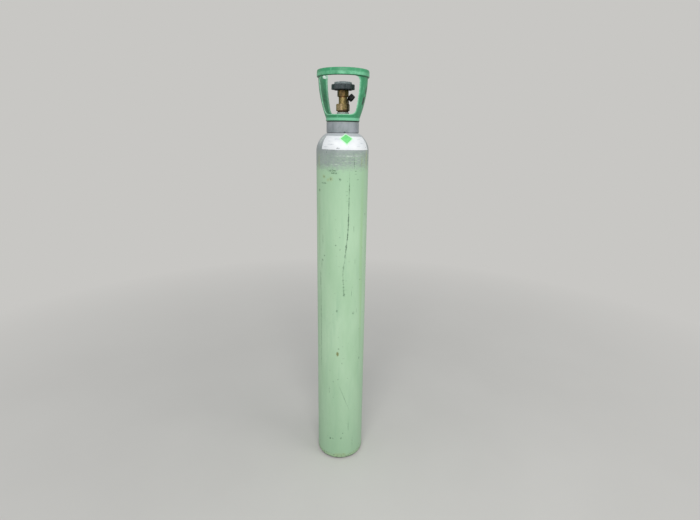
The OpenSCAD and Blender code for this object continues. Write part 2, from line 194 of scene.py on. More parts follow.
def skin(name, sheets, sharp=35.0):
    """One mesh from grids of points with their maps: seams and poles are merged, faces point out."""
    mesh = bpy.data.meshes.new(name)
    points, faces, maps, start = [], [], [], 0
    for grid, chart in sheets:
        rows, columns = grid.shape[:2]
        number = start + np.arange(rows * columns).reshape(rows, columns)
        quads = np.stack([number[:-1, :-1], number[:-1, 1:], number[1:, 1:], number[1:, :-1]], -1)
        points.append(grid.reshape(-1, 3))
        faces.append(quads.reshape(-1, 4))
        maps.append(chart.reshape(-1, 2))
        start += rows * columns
    points, faces, maps = np.concatenate(points), np.concatenate(faces), np.concatenate(maps)
    mesh.from_pydata(points.tolist(), [], faces.tolist())
    layer = mesh.uv_layers.new(name="metres")
    layer.data.foreach_set("uv", maps[faces.ravel()].ravel().astype(np.float32))
    work = bmesh.new()
    work.from_mesh(mesh)
    bmesh.ops.remove_doubles(work, verts=work.verts, dist=WELD)
    bmesh.ops.dissolve_degenerate(work, edges=work.edges, dist=WELD / 20)
    face_out(work)
    for face in work.faces:
        face.smooth = True
    for edge in work.edges:
        edge.smooth = edge.is_manifold and edge.calc_face_angle(0.0) < math.radians(sharp)
    work.to_mesh(mesh)
    work.free()
    piece = bpy.data.objects.new(name, mesh)
    bpy.context.scene.collection.objects.link(piece)
    return piece


SHELL_R = 70.0
SIDE_H = 941.0
KNUCKLE_R = 52.0
CROWN_R = 80.0
CROWN_Z = SIDE_H - math.sqrt((CROWN_R - KNUCKLE_R) ** 2 - (SHELL_R - KNUCKLE_R) ** 2)
FOOT_EDGE = 10.0
DISH_R = 50.0
DISH_H = 10.0
NECK_R = 31.0
neck_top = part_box("cylinder_shell")[1].z / MM
MEET = math.degrees(math.asin((SIDE_H - CROWN_Z) / (CROWN_R - KNUCKLE_R)))


def shoulder_point(z, out):
    """The shoulder's radius and height at height z, moved outwards by a distance."""
    meet_z = CROWN_Z + CROWN_R * math.sin(math.radians(MEET))
    knuckle = z <= meet_z
    cx = np.where(knuckle, SHELL_R - KNUCKLE_R, 0.0)
    cz = np.where(knuckle, SIDE_H, CROWN_Z)
    radius = np.where(knuckle, KNUCKLE_R, CROWN_R)
    turn = np.arcsin(np.clip((z - cz) / radius, -1, 1))
    return np.stack([cx + (radius + out) * np.cos(turn), cz + (radius + out) * np.sin(turn)], -1)


dish_ball = (DISH_R ** 2 + DISH_H ** 2) / (2 * DISH_H)
dish_edge = math.degrees(math.asin(DISH_R / dish_ball))
neck_foot = math.degrees(math.acos(NECK_R / CROWN_R))
shell_profile = np.concatenate([
    arc(0, DISH_H - dish_ball, dish_ball, 90, 90 - dish_edge, 12),
    arc(SHELL_R - FOOT_EDGE, FOOT_EDGE, FOOT_EDGE, -90, 0, 12),
    line((SHELL_R, FOOT_EDGE + 4), (SHELL_R, SIDE_H - 4), 116),
    arc(SHELL_R - KNUCKLE_R, SIDE_H, KNUCKLE_R, 0, MEET, 20),
    arc(0, CROWN_Z, CROWN_R, MEET + 1, neck_foot, 10),
    [[NECK_R, neck_top - 20], [NECK_R, neck_top - 1], [NECK_R - 1, neck_top], [0, neck_top]]])
shell = skin("steel_shell", [turned(shell_profile, 224)])
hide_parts("cylinder_shell")
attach(shell, "cylinder")


# A distance that is past every mark's edge
FAR = 99.0


def marks(add, chart, rows, tall=1.0, lean=0.0):
    """How far the surface is from the nearest of several marks, where 1 is a mark's edge. Each mark is
    an ellipse: a centre's bearing in degrees and height, and a half width in millimetres. All are as
    many times taller than wide as tall says, and lean by an angle in degrees."""
    turn = math.radians(lean)
    laid = add("Mapping", Vector=chart, Rotation=(0, 0, turn), Scale=(MM, tall * MM, 1.0),
               vector_type="TEXTURE")
    nearest = FAR
    for bearing, height, half_w in rows:
        u, v = math.radians(bearing) * SHELL_R, height
        along, over = u * math.cos(turn) + v * math.sin(turn), v * math.cos(turn) - u * math.sin(turn)
        centre = (along, over / tall, 0)
        reach = add("VectorMath", laid, centre, operation="DISTANCE").outputs["Value"]
        nearest = add("Math", nearest, add("Math", reach, half_w, operation="DIVIDE"), operation="MINIMUM")
    return nearest


def mottle(add, chart, per_mm, stretch=(1.0, 1.0, 1.0), detail=4.0, rough=0.6):
    """An uneven pattern, whose grains are about one over per_mm millimetres across before it is
    stretched."""
    laid = add("Mapping", Vector=chart, Scale=stretch)
    return add("TexNoise", Vector=laid, Scale=per_mm / MM, Detail=detail, Roughness=rough)


def cloudy(add, grain, low, high, first, second):
    """A colour that goes from the first to the second as a pattern goes from low to high."""
    return add("MixRGB", add("MapRange", grain, low, high), first, second)


def frayed(add, distance, fray, edge, full, most=1.0):
    """How much a mark covers: nothing where its distance with the fray added is past the edge, and
    its most where that falls to full."""
    return add("MapRange", add("Math", distance, fray, operation="ADD"), edge, full, 0.0, most)


def between(add, value, start, full, fading, gone, most=1.0):
    """A band: it rises from nothing at start to its most at full, and falls from fading to gone."""
    rise = add("MapRange", value, start, full, 0.0, most)
    return add("Math", rise, add("MapRange", value, gone, fading), operation="MULTIPLY")


def finish_off(add, material, pieces, colour, height, depth, **shader_values):
    """Ends a material with its shader and a bump of a depth in millimetres, and puts it on pieces."""
    bump = add("Bump", Height=height, Distance=depth * MM, Strength=0.6)
    add("OutputMaterial", add("BsdfPrincipled", Base_Color=colour, Normal=bump, **shader_values))
    for piece in pieces:
        piece.data.materials.clear()
        piece.data.materials.append(material)


# Air-dried alkyd enamel, sprayed on steel: a satin sheen, faint orange peel, and chips that
# show dark green primer, dark steel at the foot and a little rust. Places are in millimetres.
enamel, add = new_finish("sprayed alkyd enamel")
where = add("TexCoord")
chart = where.outputs["UV"]
solid = where.outputs["Object"]
split = add("SeparateXYZ", chart)
across = add("Math", split.outputs[0], MM, operation="DIVIDE")
up = add("Math", split.outputs[1], MM, operation="DIVIDE")
fray = add("MapRange", mottle(add, chart, 0.42, detail=4, rough=0.7), 0.3, 0.7, -0.5, 0.5)
dots = add("MapRange", mottle(add, chart, 0.26, (0.6, 1, 1), 3), 0.42, 0.52)
fine_dots = add("MapRange", mottle(add, chart, 0.5, (0.5, 1, 1), 3), 0.4, 0.56)

green = cloudy(add, mottle(add, solid, 0.018, (1, 1, 0.25)), 0.3, 0.7, "#a6caa5", "#b6d6b4")
runs = add("MapRange", mottle(add, solid, 0.06, (1, 1, 0.12)), 0.52, 0.75, 0.0, 0.45)
green = add("MixRGB", runs, green, "#9dc3a2")
green = add("MixRGB", add("MapRange", up, 340, 0, 0.0, 0.6), green, "#93b896")
green = add("MixRGB", add("MapRange", up, 720, 890, 0.0, 0.5), green, "#9cc09e")

# Grey shoulder paint: a ragged lower edge, and rubbed streaks where the green shows through
ragged = add("MapRange", mottle(add, chart, 0.12, (1, 1.3, 1), 8, 0.7), 0.25, 0.75, -12, 12)
shoulder = add("MapRange", add("Math", up, ragged, operation="ADD"), 892, 912)
rubbed = add("MapRange", mottle(add, chart, 0.34, (0.35, 1, 1), 6, 0.7), 0.42, 0.62)
rubbed = add("Math", rubbed, add("MapRange", up, 952, 930), operation="MULTIPLY")
rubbed = add("Math", rubbed, add("MapRange", across, -30, 30, 0.35, 0.95), operation="MULTIPLY")
grained = add("MapRange", mottle(add, chart, 0.4, (1, 0.25, 1), 4, 0.7), 0.4, 0.66, 0.0, 0.6)
grained = add("Math", grained, add("MapRange", up, 945, 925), operation="MULTIPLY")
grey = cloudy(add, mottle(add, solid, 0.05), 0.35, 0.65, "#8b9493", "#9ba3a3")
grey = add("MixRGB", grained, grey, "#8fa693")
grey = add("MixRGB", add("MapRange", up, 952, 985, 0.0, 0.85), grey, "#b9bec1")
grey = add("MixRGB", rubbed, grey, "#a2bda2")
colour = add("MixRGB", shoulder, green, grey)

# Pale scuffs on the shoulder, and paint that has gone olive in spots and yellow in streaks
flat_scuffs = ((15, 932, 32), (36, 921, 6), (-14, 911, 15), (-34, 906, 12), (8, 919, 9))
scuffed = frayed(add, marks(add, chart, flat_scuffs, 0.05), fray, 1.4, 0.6, 0.7)
broken_up = add("MapRange", mottle(add, chart, 0.3, (0.5, 1, 1), 4, 0.7), 0.42, 0.58)
scuffed = add("Math", scuffed, broken_up, operation="MULTIPLY")
chalked = frayed(add, marks(add, chart, ((-64, 969, 7), (-60, 976, 5)), 0.9), fray, 1.4, 0.6, 0.75)
chalked = add("Math", chalked, dots, operation="MULTIPLY")
colour = add("MixRGB", add("Math", scuffed, chalked, operation="MAXIMUM"), colour, "#cdd8cf")
drips = marks(add, chart, ((-60, 918, 3.4), (65, 922, 4.4), (47, 918, 2.0)), 6)
olive_spots = ((-24, 874, 5.5), (-31, 871, 4), (-42, 879, 5), (-8, 14, 7), (0, 14, 8), (10, 15, 7))
olive = add("Math", drips, marks(add, chart, olive_spots, 0.9), operation="MINIMUM")
colour = add("MixRGB", frayed(add, olive, fray, 1.4, 0.6, 0.45), colour, "#a2b07a")
yellowed = marks(add, chart, ((51, 690, 6.0), (54, 540, 5.0), (-60, 760, 3.5)), 28)
colour = add("MixRGB", frayed(add, yellowed, fray, 1.5, 0.1, 0.6), colour, "#9cc38c")

# One long scratch wanders down the front: its bearing in degrees is a curve of the height.
# It widens as it goes down, and is more broken below the height where it bends back.
SCRATCH = ((548, 7.6), (590, 5.6), (622, 4.6), (651, 7.5), (688, 10.8), (738, 14.8), (810, 16.2),
           (862, 16.7), (905, 17.0))
CURVE_LOW, CURVE_HIGH, CURVE_BEARING = 500, 1000, 30
path = add("FloatCurve", Value=add("MapRange", up, CURVE_LOW, CURVE_HIGH))
bends = [((height - CURVE_LOW) / (CURVE_HIGH - CURVE_LOW), bearing / CURVE_BEARING)
         for height, bearing in SCRATCH]
curve = path.mapping.curves[0]
for bend_x, bend_y in bends[1:-1]:
    curve.points.new(bend_x, bend_y)
curve.points[0].location = bends[0]
curve.points[-1].location = bends[-1]
path.mapping.update()
middle = add("Math", path, math.radians(CURVE_BEARING) * SHELL_R, operation="MULTIPLY")
aside = add("Math", add("Math", across, middle, operation="SUBTRACT"), operation="ABSOLUTE")
width = add("MapRange", mottle(add, chart, 0.05, (0.05, 1, 1), 3), 0.42, 0.56, 0.35, 1.1)
width = add("Math", width, add("MapRange", up, 860, 700, 0.8, 2.0), operation="MULTIPLY")
scratch = frayed(add, add("Math", aside, width, operation="DIVIDE"), fray, 1.5, 0.6)
scratch = add("Math", scratch, between(add, up, 548, 552, 858, 895), operation="MULTIPLY")
scratch = add("Math", scratch, add("MapRange", up, 660, 700, 0.6, 1.0), operation="MULTIPLY")
gaps = add("MapRange", dots, 0, 1, add("MapRange", up, 640, 700, 0, 0.4), 1.0)
scratch = add("Math", scratch, gaps, operation="MULTIPLY")

# Nicks down to the primer: short ticks, long fine lines, round spots, flat dashes and one
# slanting line. Each kind has its marks, how tall they are and how far they lean.
NICKS = (
    (((25.3, 560, 0.7), (28.5, 742, 0.6), (39.5, 503, 0.6), (33, 650, 0.5), (-46, 708, 0.9),
      (-55, 590, 1.9), (-50, 640, 1.0), (27.4, 915, 1.0), (-27.5, 246, 0.8), (22, 118, 1.0),
      (120, 640, 1.4), (-150, 420, 1.0), (98, 800, 0.9)), 14, 0),
    (((-54, 470, 1.5), (-54.4, 390, 1.2), (34, 60, 0.5), (172, 520, 1.0), (-112, 760, 0.9)), 60, 0),
    (((7.4, 555, 3.2), (-9, 506, 2.6), (31, 497, 3.0), (-4, 387, 2.0), (4.4, 340, 1.7), (52, 345, 2.8),
      (-25, 73, 3.0), (-18, 75, 2.2), (3.7, 78, 2.8), (-3.6, 873, 2.8), (-24, 874, 2.2), (-42, 879, 2.2),
      (-58, 842, 3.2), (-41, 664, 2.0), (-47, 650, 2.4), (-12, 697, 1.6), (-140, 300, 2.8),
      (152, 210, 3.0), (98, 404, 2.6), (8, 96, 1.5)), 1.2, 0),
    (((6.7, 355, 3.6), (-21, 895, 12), (-17, 889, 10), (-42, 862, 9), (31, 894, 4), (31, 886, 3.4),
      (36, 872, 4), (11, 842, 3), (13, 817, 3), (150, 880, 10), (-120, 902, 8)), 0.22, 0),
    (((10.6, 221, 0.6),), 70, 20))
nicked = FAR
for rows, tall, lean in NICKS:
    nicked = add("Math", nicked, marks(add, chart, rows, tall, lean), operation="MINIMUM")
nicked = add("Math", frayed(add, nicked, fray, 1.3, 0.7, 0.82), fine_dots, operation="MULTIPLY")
pits = add("MapRange", mottle(add, chart, 0.11, detail=2, rough=0.5), 0.7, 0.76, 0.0, 0.6)
damage = add("Math", add("Math", scratch, nicked, operation="MAXIMUM"), pits, operation="MAXIMUM")
colour = add("MixRGB", add("Math", damage, 0.9, operation="MULTIPLY"), colour, "#3f5d46")
rust = marks(add, chart, ((-6.6, 370, 3.6), (142, 330, 3.0), (-150, 820, 2.4), (-96, 120, 3.0)), 1.9)
rust = frayed(add, rust, fray, 1.35, 0.65, 0.85)
colour = add("MixRGB", rust, colour, "#7b7a40")

# Foot: chipped rim, bare dark steel where it stands, darkened further as painted contact shade, and scuffed
# paint just above
uneven = add("MapRange", mottle(add, chart, 0.13, detail=5, rough=0.7), 0, 1, 0, 16)
rim_up = add("Math", up, uneven, operation="SUBTRACT")
colour = add("MixRGB", add("MapRange", rim_up, 9.5, 6.5, 0.0, 0.7), colour, "#a2c096")
rim_pits = add("MapRange", mottle(add, chart, 0.24, detail=3), 0.54, 0.62)
rim_pits = add("Math", add("MapRange", rim_up, 14, 4), rim_pits, operation="MULTIPLY")
colour = add("MixRGB", add("Math", rim_pits, 0.9, operation="MULTIPLY"), colour, "#54664c")
# Bare steel with painted contact shade: the lowest few millimetres of the foot are painted near black
bare_rim_and_shade = add("MapRange", rim_up, -1.2, -3.4)
colour = add("MixRGB", bare_rim_and_shade, colour, "#363b2c")

broken = damage
for worse in (rust, rim_pits, bare_rim_and_shade):
    broken = add("Math", broken, worse, operation="MAXIMUM")
waves = add("Math", mottle(add, solid, 0.026, (1, 1, 0.3), 2), 1.6, operation="MULTIPLY")
peel = add("Math", mottle(add, solid, 0.7, detail=2), 0.1, operation="MULTIPLY")
relief = add("Math", waves, peel, operation="ADD")
relief = add("Math", relief, add("Math", broken, 0.5, operation="MULTIPLY"), operation="SUBTRACT")
finish_off(add, enamel, [shell], colour, relief, 0.5, Specular_IOR_Level=0.38,
           Roughness=add("MapRange", broken, 0, 1, 0.46, 0.8))


# ---------------------------------------------------------------- neck ring
# A turned steel collar pressed on the neck. Its outer thread takes the guard; it is
# brushed with the same grey paint, and chipped along its lower edge.
low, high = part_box("neck_ring")
COLLAR_R = high.x / MM
collar_z, ring_top = low.z / MM, high.z / MM
COLLAR_H = 27.7
RING_THREAD_R = 40.0
collar_top = collar_z + COLLAR_H
ring_bore = NECK_R + 0.1
thread_r = RING_THREAD_R - 1.0
ring_profile = np.concatenate([
    line((ring_bore, collar_z + 4.5), (COLLAR_R - 2.0, collar_z + 1.1), 4),
    [[COLLAR_R - 1.0, collar_z + 0.1], [COLLAR_R - 0.3, collar_z + 0.3], [COLLAR_R, collar_z + 1.0]],
    line((COLLAR_R, collar_z + 2), (COLLAR_R, collar_top - 1.4), 10),
    [[COLLAR_R - 0.3, collar_top - 0.4], [COLLAR_R - 1.2, collar_top], [thread_r, collar_top],
     [thread_r, ring_top - 1], [thread_r - 1.0, ring_top], [ring_bore + 0.5, ring_top],
     [ring_bore, ring_top - 0.6], [ring_bore, collar_z + 4.5]]])
collar = skin("steel_neck_ring", [turned(ring_profile, 160)])
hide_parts("neck_ring")
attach(collar, "cylinder")


def height_of(add, solid):
    """The height of a point in millimetres."""
    return add("Math", add("SeparateXYZ", solid).outputs[2], MM, operation="DIVIDE")


# Brushed grey enamel on turned steel: soft vertical brush marks and small dark chips.
ring_paint, add = new_finish("brushed grey enamel")
solid = add("TexCoord").outputs["Object"]
height = height_of(add, solid)
colour = cloudy(add, mottle(add, solid, 0.07, (1, 1, 0.4)), 0.35, 0.65, "#838b8e", "#989fa2")
colour = add("MixRGB", add("MapRange", mottle(add, solid, 0.05), 0.5, 0.7, 0.0, 0.5), colour, "#9d9cab")
colour = add("MixRGB", add("MapRange", height, collar_top - 5.7, collar_top, 0.0, 0.35), colour, "#7c8c7c")
# Painted shade: a dark band round the collar's top edge, where the guard sits over the ring
joint = between(add, height, collar_top - 1.6, collar_top - 0.8, collar_top + 0.9, collar_top + 1.6, 0.8)
colour = add("MixRGB", joint, colour, "#33463c")
low_down = add("MapRange", height, collar_z + 7, collar_z, 0, 0.17)
chipped = add("MapRange", add("Math", low_down, mottle(add, solid, 0.16), operation="ADD"), 0.7, 0.76)
colour = add("MixRGB", add("Math", chipped, 0.85, operation="MULTIPLY"), colour, "#3d4241")
relief = add("Math", mottle(add, solid, 0.5, (1, 1, 0.2)), chipped, operation="SUBTRACT")
finish_off(add, ring_paint, [collar], colour, relief, 0.2, Roughness=0.5, Specular_IOR_Level=0.4)


# ---------------------------------------------------------------- valve guard
# One moulding in green plastic: a band that screws on the neck ring, two broad posts
# that follow a tulip curve, and a C-shaped carrying ring that is open at the back.
guard_low, guard_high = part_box("valve_guard")
guard_z, guard_top = guard_low.z / MM, guard_high.z / MM
GUARD_BEARING = -13.5
BAND_R = 44.2
BAND_H = 9.0
POST_R = 63.6
POST_T = 4.0
RING_Z = 106.5
RING_R = 67.5
TULIP_POWER = 1.9
SILL_H = 17.0
LIP_H = 14.0
HALF_WINDOW = math.radians(54.5)
CORNER = 12.0
BORE_R = 40.05
ring_bottom = guard_z + RING_Z
sill_z = guard_z + SILL_H


def tulip(z):
    """The guard's outer radius: it swells from the band, quickly and then slowly, to the ring."""
    t = np.clip((z - guard_z - BAND_H) / (RING_Z - BAND_H), 0, 1)
    return BAND_R + 0.3 + (POST_R - BAND_R - 0.3) * (1 - (1 - t) ** TULIP_POWER)


def place(bearing, r, z):
    """Bearing in degrees, radius and height as x = r sin, y = -r cos."""
    turn = np.radians(bearing)
    return np.stack(np.broadcast_arrays(r * np.sin(turn), -r * np.cos(turn), z), -1) * MM


def even(path, n):
    """A path's points, spaced again by length into n + 1 even steps."""
    gaps = np.concatenate([[0], np.cumsum(np.linalg.norm(np.diff(path, axis=0), axis=1))])
    at = steps(0, gaps[-1], n)
    return np.stack([np.interp(at, gaps, path[:, i]) for i in range(path.shape[1])], -1)


def bend(a, b, c, n):
    """A quadratic curve from a to c that is pulled towards b."""
    t = steps(0, 1, n)[:, None]
    return (1 - t) ** 2 * np.array(a) + 2 * t * (1 - t) * np.array(b) + t ** 2 * np.array(c)


def window_half(rounded_top):
    """Right half of a window's outline, as sideways distance and height: sill, corner and leaning side.
    It comes in two paths that meet in the middle of the corner, so that both have known counts."""
    roof = ring_bottom + 0.5
    edge_top = ring_bottom - CORNER if rounded_top else roof
    side_z = steps(sill_z + CORNER, edge_top, 24)
    side = np.stack([tulip(np.minimum(side_z, ring_bottom)) * math.sin(HALF_WINDOW), side_z], -1)
    foot_s = tulip(sill_z) * math.sin(HALF_WINDOW)
    corner = bend((foot_s - CORNER, sill_z), (foot_s, sill_z), side[0], 12)
    sill = np.concatenate([[[0.0, sill_z]], corner[:7]])
    rest = [corner[6:], side[1:]]
    if rounded_top:
        top_s = tulip(ring_bottom) * math.sin(HALF_WINDOW)
        rest.append(bend(side[-1], (top_s, ring_bottom), (top_s - CORNER, ring_bottom), 12)[1:])
        rest.append(np.array([[top_s - CORNER - 0.5, roof]]))
    return even(sill, 20), even(np.concatenate(rest), 44)


EDGE_ROUND = 1.3
rim_turn = np.radians(steps(0, 90, 5))
rim_in = EDGE_ROUND * (1 - np.sin(rim_turn))
rim_deep = EDGE_ROUND * (1 - np.cos(rim_turn))
rim_rows = [(a, b) for a, b in zip(rim_in, rim_deep)]
rim_rows += [(a, POST_T - b) for a, b in zip(rim_in[::-1], rim_deep[::-1])]
band_edge = guard_z + BAND_H
lip_z = guard_z + LIP_H
guard_sheets = []
for facing, rounded_top in ((GUARD_BEARING, True), (GUARD_BEARING + 180, False)):
    for side in (1, -1):
        sill, flank = window_half(rounded_top)
        for path, corners in ((sill, "foot"), (flank, "post")):
            tangent = np.gradient(path, axis=0)
            outward = np.stack([-tangent[:, 1], tangent[:, 0]], -1)
            outward /= -np.linalg.norm(outward, axis=1, keepdims=True)
            if path is sill:
                outward[0] = (0.0, -1.0)
            n = len(path) - 1
            middle = (sill[-1] - sill[-2]) + (flank[1] - flank[0])
            corner_out = np.array([middle[1], -middle[0]]) / np.linalg.norm(middle)
            outward[-1 if path is sill else 0] = corner_out
            rows, depths = [], []
            for into, deep in rim_rows:
                rows.append(path + outward * into)
                depths.append(deep)
            rim = np.stack(rows)
            rim_z = np.minimum(rim[..., 1], ring_bottom + 0.5)
            rim_r = tulip(np.minimum(rim_z, ring_bottom)) - np.array(depths)[:, None]
            rim_b = np.degrees(np.arcsin(np.clip(rim[..., 0] / rim_r, -1, 1)))
            edge_map = np.stack([np.ones_like(rim_z), rim_z * MM], -1)
            guard_sheets.append((place(facing + side * rim_b, rim_r, rim_z), edge_map))
            for row, deep, foot in ((0, 0.0, band_edge), (-1, POST_T, lip_z)):
                if corners == "foot":
                    bound_b, bound_z = steps(0, 90, n), np.full(n + 1, foot)
                else:
                    bound_b, bound_z = np.full(n + 1, 90.0), steps(foot, ring_bottom + 0.5, n)
                t = steps(0, 1, 10)[:, None]
                b = (1 - t) * rim_b[row] + t * bound_b
                z = (1 - t) * rim_z[row] + t * bound_z
                r = tulip(np.minimum(z, ring_bottom)) - deep
                fade = np.clip(1 - t * 8, 0, 1) + 0 * z
                guard_sheets.append((place(facing + side * b, r, z), np.stack([fade, z * MM], -1)))
            if corners == "post":
                t = steps(0, 1, 10)
                b = (1 - t) * rim_b[:, -1:] + t * 90
                z = (1 - t) * rim_z[:, -1:] + t * (ring_bottom + 0.5)
                r = tulip(np.minimum(z, ring_bottom)) - np.array(depths)[:, None]
                guard_sheets.append((place(facing + side * b, r, z), np.stack([0 * b, z * MM], -1)))

band_turn = GUARD_BEARING + steps(-180, 180, 80)
band_profile = np.array([
    [tulip(lip_z) - POST_T, lip_z], [BORE_R, lip_z], [BORE_R, guard_z + 0.8], [BORE_R + 0.5, guard_z],
    [BAND_R - 1.2, guard_z], [BAND_R - 0.35, guard_z + 0.35], [BAND_R, guard_z + 1.2],
    [BAND_R, band_edge - 1.2], [BAND_R + 0.1, band_edge - 0.5], [BAND_R + 0.3, band_edge]])
r, z = band_profile[:, 0:1], band_profile[:, 1:2]
guard_sheets.append((place(band_turn, r, z), np.stack(np.broadcast_arrays(0 * band_turn, z * MM), -1)))

# The ring's section: a flat inner wall, a top rolled over, and a face that leans out a little
inner_r = float(tulip(ring_bottom)) - POST_T
ROLL = 3.2
section = np.concatenate([
    bend((RING_R - 2.6, ring_bottom), (RING_R, ring_bottom), (RING_R, ring_bottom + 2.6), 6),
    [[RING_R, ring_bottom + 5.0], [RING_R - 0.15, ring_bottom + 8.5],
     [RING_R - 0.45, guard_top - ROLL - 1.0]],
    bend((RING_R - 0.6, guard_top - ROLL), (RING_R - 0.8, guard_top), (RING_R - 0.8 - ROLL, guard_top), 7),
    bend((inner_r + 2.4, guard_top), (inner_r, guard_top), (inner_r, guard_top - 2.4), 5),
    [[inner_r, guard_top - 9], [inner_r, ring_bottom + 1.4], [inner_r + 0.4, ring_bottom + 0.4],
     [inner_r + 1.4, ring_bottom]]])
section = np.concatenate([section, section[:1]])
heart = section[:-1].mean(0)
END_IN = [0.0, 0.0, 0.25, 0.9, 2.2]
END_SIZE = [0.0, 0.72, 0.86, 0.965, 1.0]
END_S = float(tulip(ring_bottom)) * math.sin(HALF_WINDOW) + 1.4
r = section[:, 0:1]
start = np.degrees(np.arcsin(END_S / r))
columns = [(start + np.degrees(d / r), k) for d, k in zip(END_IN, END_SIZE)]
first, last = columns[-1][0], 360 - columns[-1][0]
columns += [(first + (last - first) * t, 1.0) for t in steps(0, 1, 96)[1:-1]]
columns += [(360 - (start + np.degrees(d / r)), k) for d, k in zip(END_IN[::-1], END_SIZE[::-1])]
b = np.concatenate([c[0] for c in columns], 1)
size = np.array([c[1] for c in columns])
r = heart[0] + (section[:, 0:1] - heart[0]) * size
z = heart[1] + (section[:, 1:2] - heart[1]) * size
b = np.where(size == 0, b.mean(0), b)
ends = np.clip(2 - np.minimum(np.arange(len(size)), np.arange(len(size))[::-1]) * 0.4, 0, 2)
guard_sheets.append((place(GUARD_BEARING + 180 + b, r, z), np.stack(np.broadcast_arrays(ends, z * MM), -1)))
guard = skin("moulded_valve_guard", guard_sheets, 50)
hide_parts("valve_guard")
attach(guard, "cylinder")


def from_axis(add, solid):
    """The distance of a point from the cylinder's axis in millimetres."""
    level = add("VectorMath", solid, (1 / MM, 1 / MM, 0.0), operation="MULTIPLY")
    return add("VectorMath", level, operation="LENGTH").outputs["Value"]


# Injection-moulded green polyamide: an even satin skin, paler on its edges, partly sun-bleached and partly
# a painted highlight, with black scuffs where cylinders knock together.
polyamide, add = new_finish("moulded green polyamide")
where = add("TexCoord")
solid = where.outputs["Object"]
edge = add("SeparateXYZ", where.outputs["UV"]).outputs[0]
height = height_of(add, solid)
colour = cloudy(add, mottle(add, solid, 0.03, detail=5), 0.3, 0.7, "#2f875a", "#3e9b6b")
faded = add("MapRange", mottle(add, solid, 0.11, (1, 1, 0.6), 5, 0.7), 0.54, 0.72, 0, 0.55)
colour = add("MixRGB", faded, colour, "#70c096")
# Painted highlight with sun-bleach: the window rims are painted paler, and the ring's cut ends almost white
# as a highlight
bleach_and_highlight = add("MapRange", mottle(add, solid, 0.2, detail=3), 0.3, 0.6, 0.45, 0.95)
colour = add("MixRGB", add("Math", edge, bleach_and_highlight, operation="MULTIPLY"), colour, "#96dab3")
colour = add("MixRGB", add("MapRange", edge, 1.3, 1.7, 0.0, 0.8), colour, "#dcefe4")
# Painted light: the band's upright face is painted paler, as if lit by the sky and the floor
painted_light_band = add("MapRange", height, band_edge + 0.4, band_edge - 1.5, 0, 0.75)
colour = add("MixRGB", painted_light_band, colour, "#83cfa7")
# Painted highlight: a band low on the ring's outer face is painted paler, in uneven spots
ring_highlight_band = between(add, height, ring_bottom + 1, ring_bottom + 2.5, ring_bottom + 7, ring_bottom + 11)
highlight_spots = add("MapRange", mottle(add, solid, 0.06, detail=4), 0.35, 0.65, 0.15, 0.7)
colour = add("MixRGB", add("Math", ring_highlight_band, highlight_spots, operation="MULTIPLY"), colour, "#84cfa5")
# Painted shade: the ring's underside is painted dark green, all but its inner wall
painted_shade_under_ring = between(add, height, ring_bottom - 0.6, ring_bottom - 0.2, ring_bottom + 0.6,
                ring_bottom + 1.8, 0.85)
outside = add("MapRange", from_axis(add, solid), inner_r + 0.6, inner_r + 1.4)
colour = add("MixRGB", add("Math", painted_shade_under_ring, outside, operation="MULTIPLY"), colour, "#23583d")
# Dirt and painted shade: the band's lowest two millimetres are painted near black, as grime and the shaded
# gap over the neck ring
grime_and_shade = add("MapRange", height, guard_z + 2.3, guard_z + 1.4, 0.0, 0.95)
colour = add("MixRGB", grime_and_shade, colour, "#1b3a2b")

# Black scuffs on the posts, as a place and a reach in millimetres, each taller than wide
KNOCKS = (((52.4, -22.4, 1066.0), 5.2), ((53.8, -21.2, 1071.5), 4.0), ((58.6, -18.0, 1090.5), 3.8),
          ((59.2, -17.5, 1097.5), 3.0), ((48.0, 34.0, 1078.0), 2.6), ((-52.0, 20.0, 1070.0), 2.4))
near = FAR
for knock, reach in KNOCKS:
    gap = add("VectorMath", solid, tuple(c * MM for c in knock), operation="SUBTRACT")
    gap = add("VectorMath", gap, (1 / MM, 1 / MM, 0.6 / MM), operation="MULTIPLY")
    gap = add("VectorMath", gap, operation="LENGTH").outputs["Value"]
    near = add("Math", near, add("Math", gap, reach, operation="DIVIDE"), operation="MINIMUM")
torn = add("MapRange", mottle(add, solid, 0.32, detail=8, rough=0.8), 0.3, 0.7, -0.9, 0.9)
colour = add("MixRGB", frayed(add, near, torn, 1.3, 0.9, 0.97), colour, "#10171a")

# One patch by the ring's open end, over the left post, is painted almost white: a painted pool of light
# where light falls through the ring's opening
LIT_PATCH, LIT_PATCH_R = (-50.5 * MM, 31.5 * MM, 1127.2 * MM), 7.0
lit_patch = add("VectorMath", solid, LIT_PATCH, operation="DISTANCE").outputs["Value"]
lit_patch = add("Math", lit_patch, LIT_PATCH_R * MM, operation="DIVIDE")
lit_patch = frayed(add, lit_patch, add("Math", torn, 0.4, operation="MULTIPLY"), 1.2, 0.8)
lit_patch = add("Math", lit_patch, add("MapRange", height, ring_bottom, ring_bottom + 1.5), operation="MULTIPLY")
colour = add("MixRGB", lit_patch, colour, "#e4f8ec")
finish_off(add, polyamide, [guard], colour, mottle(add, solid, 0.9, detail=2), 0.06,
           Roughness=add("MapRange", mottle(add, solid, 0.05), 0.3, 0.7, 0.36, 0.5),
           Specular_IOR_Level=0.45)


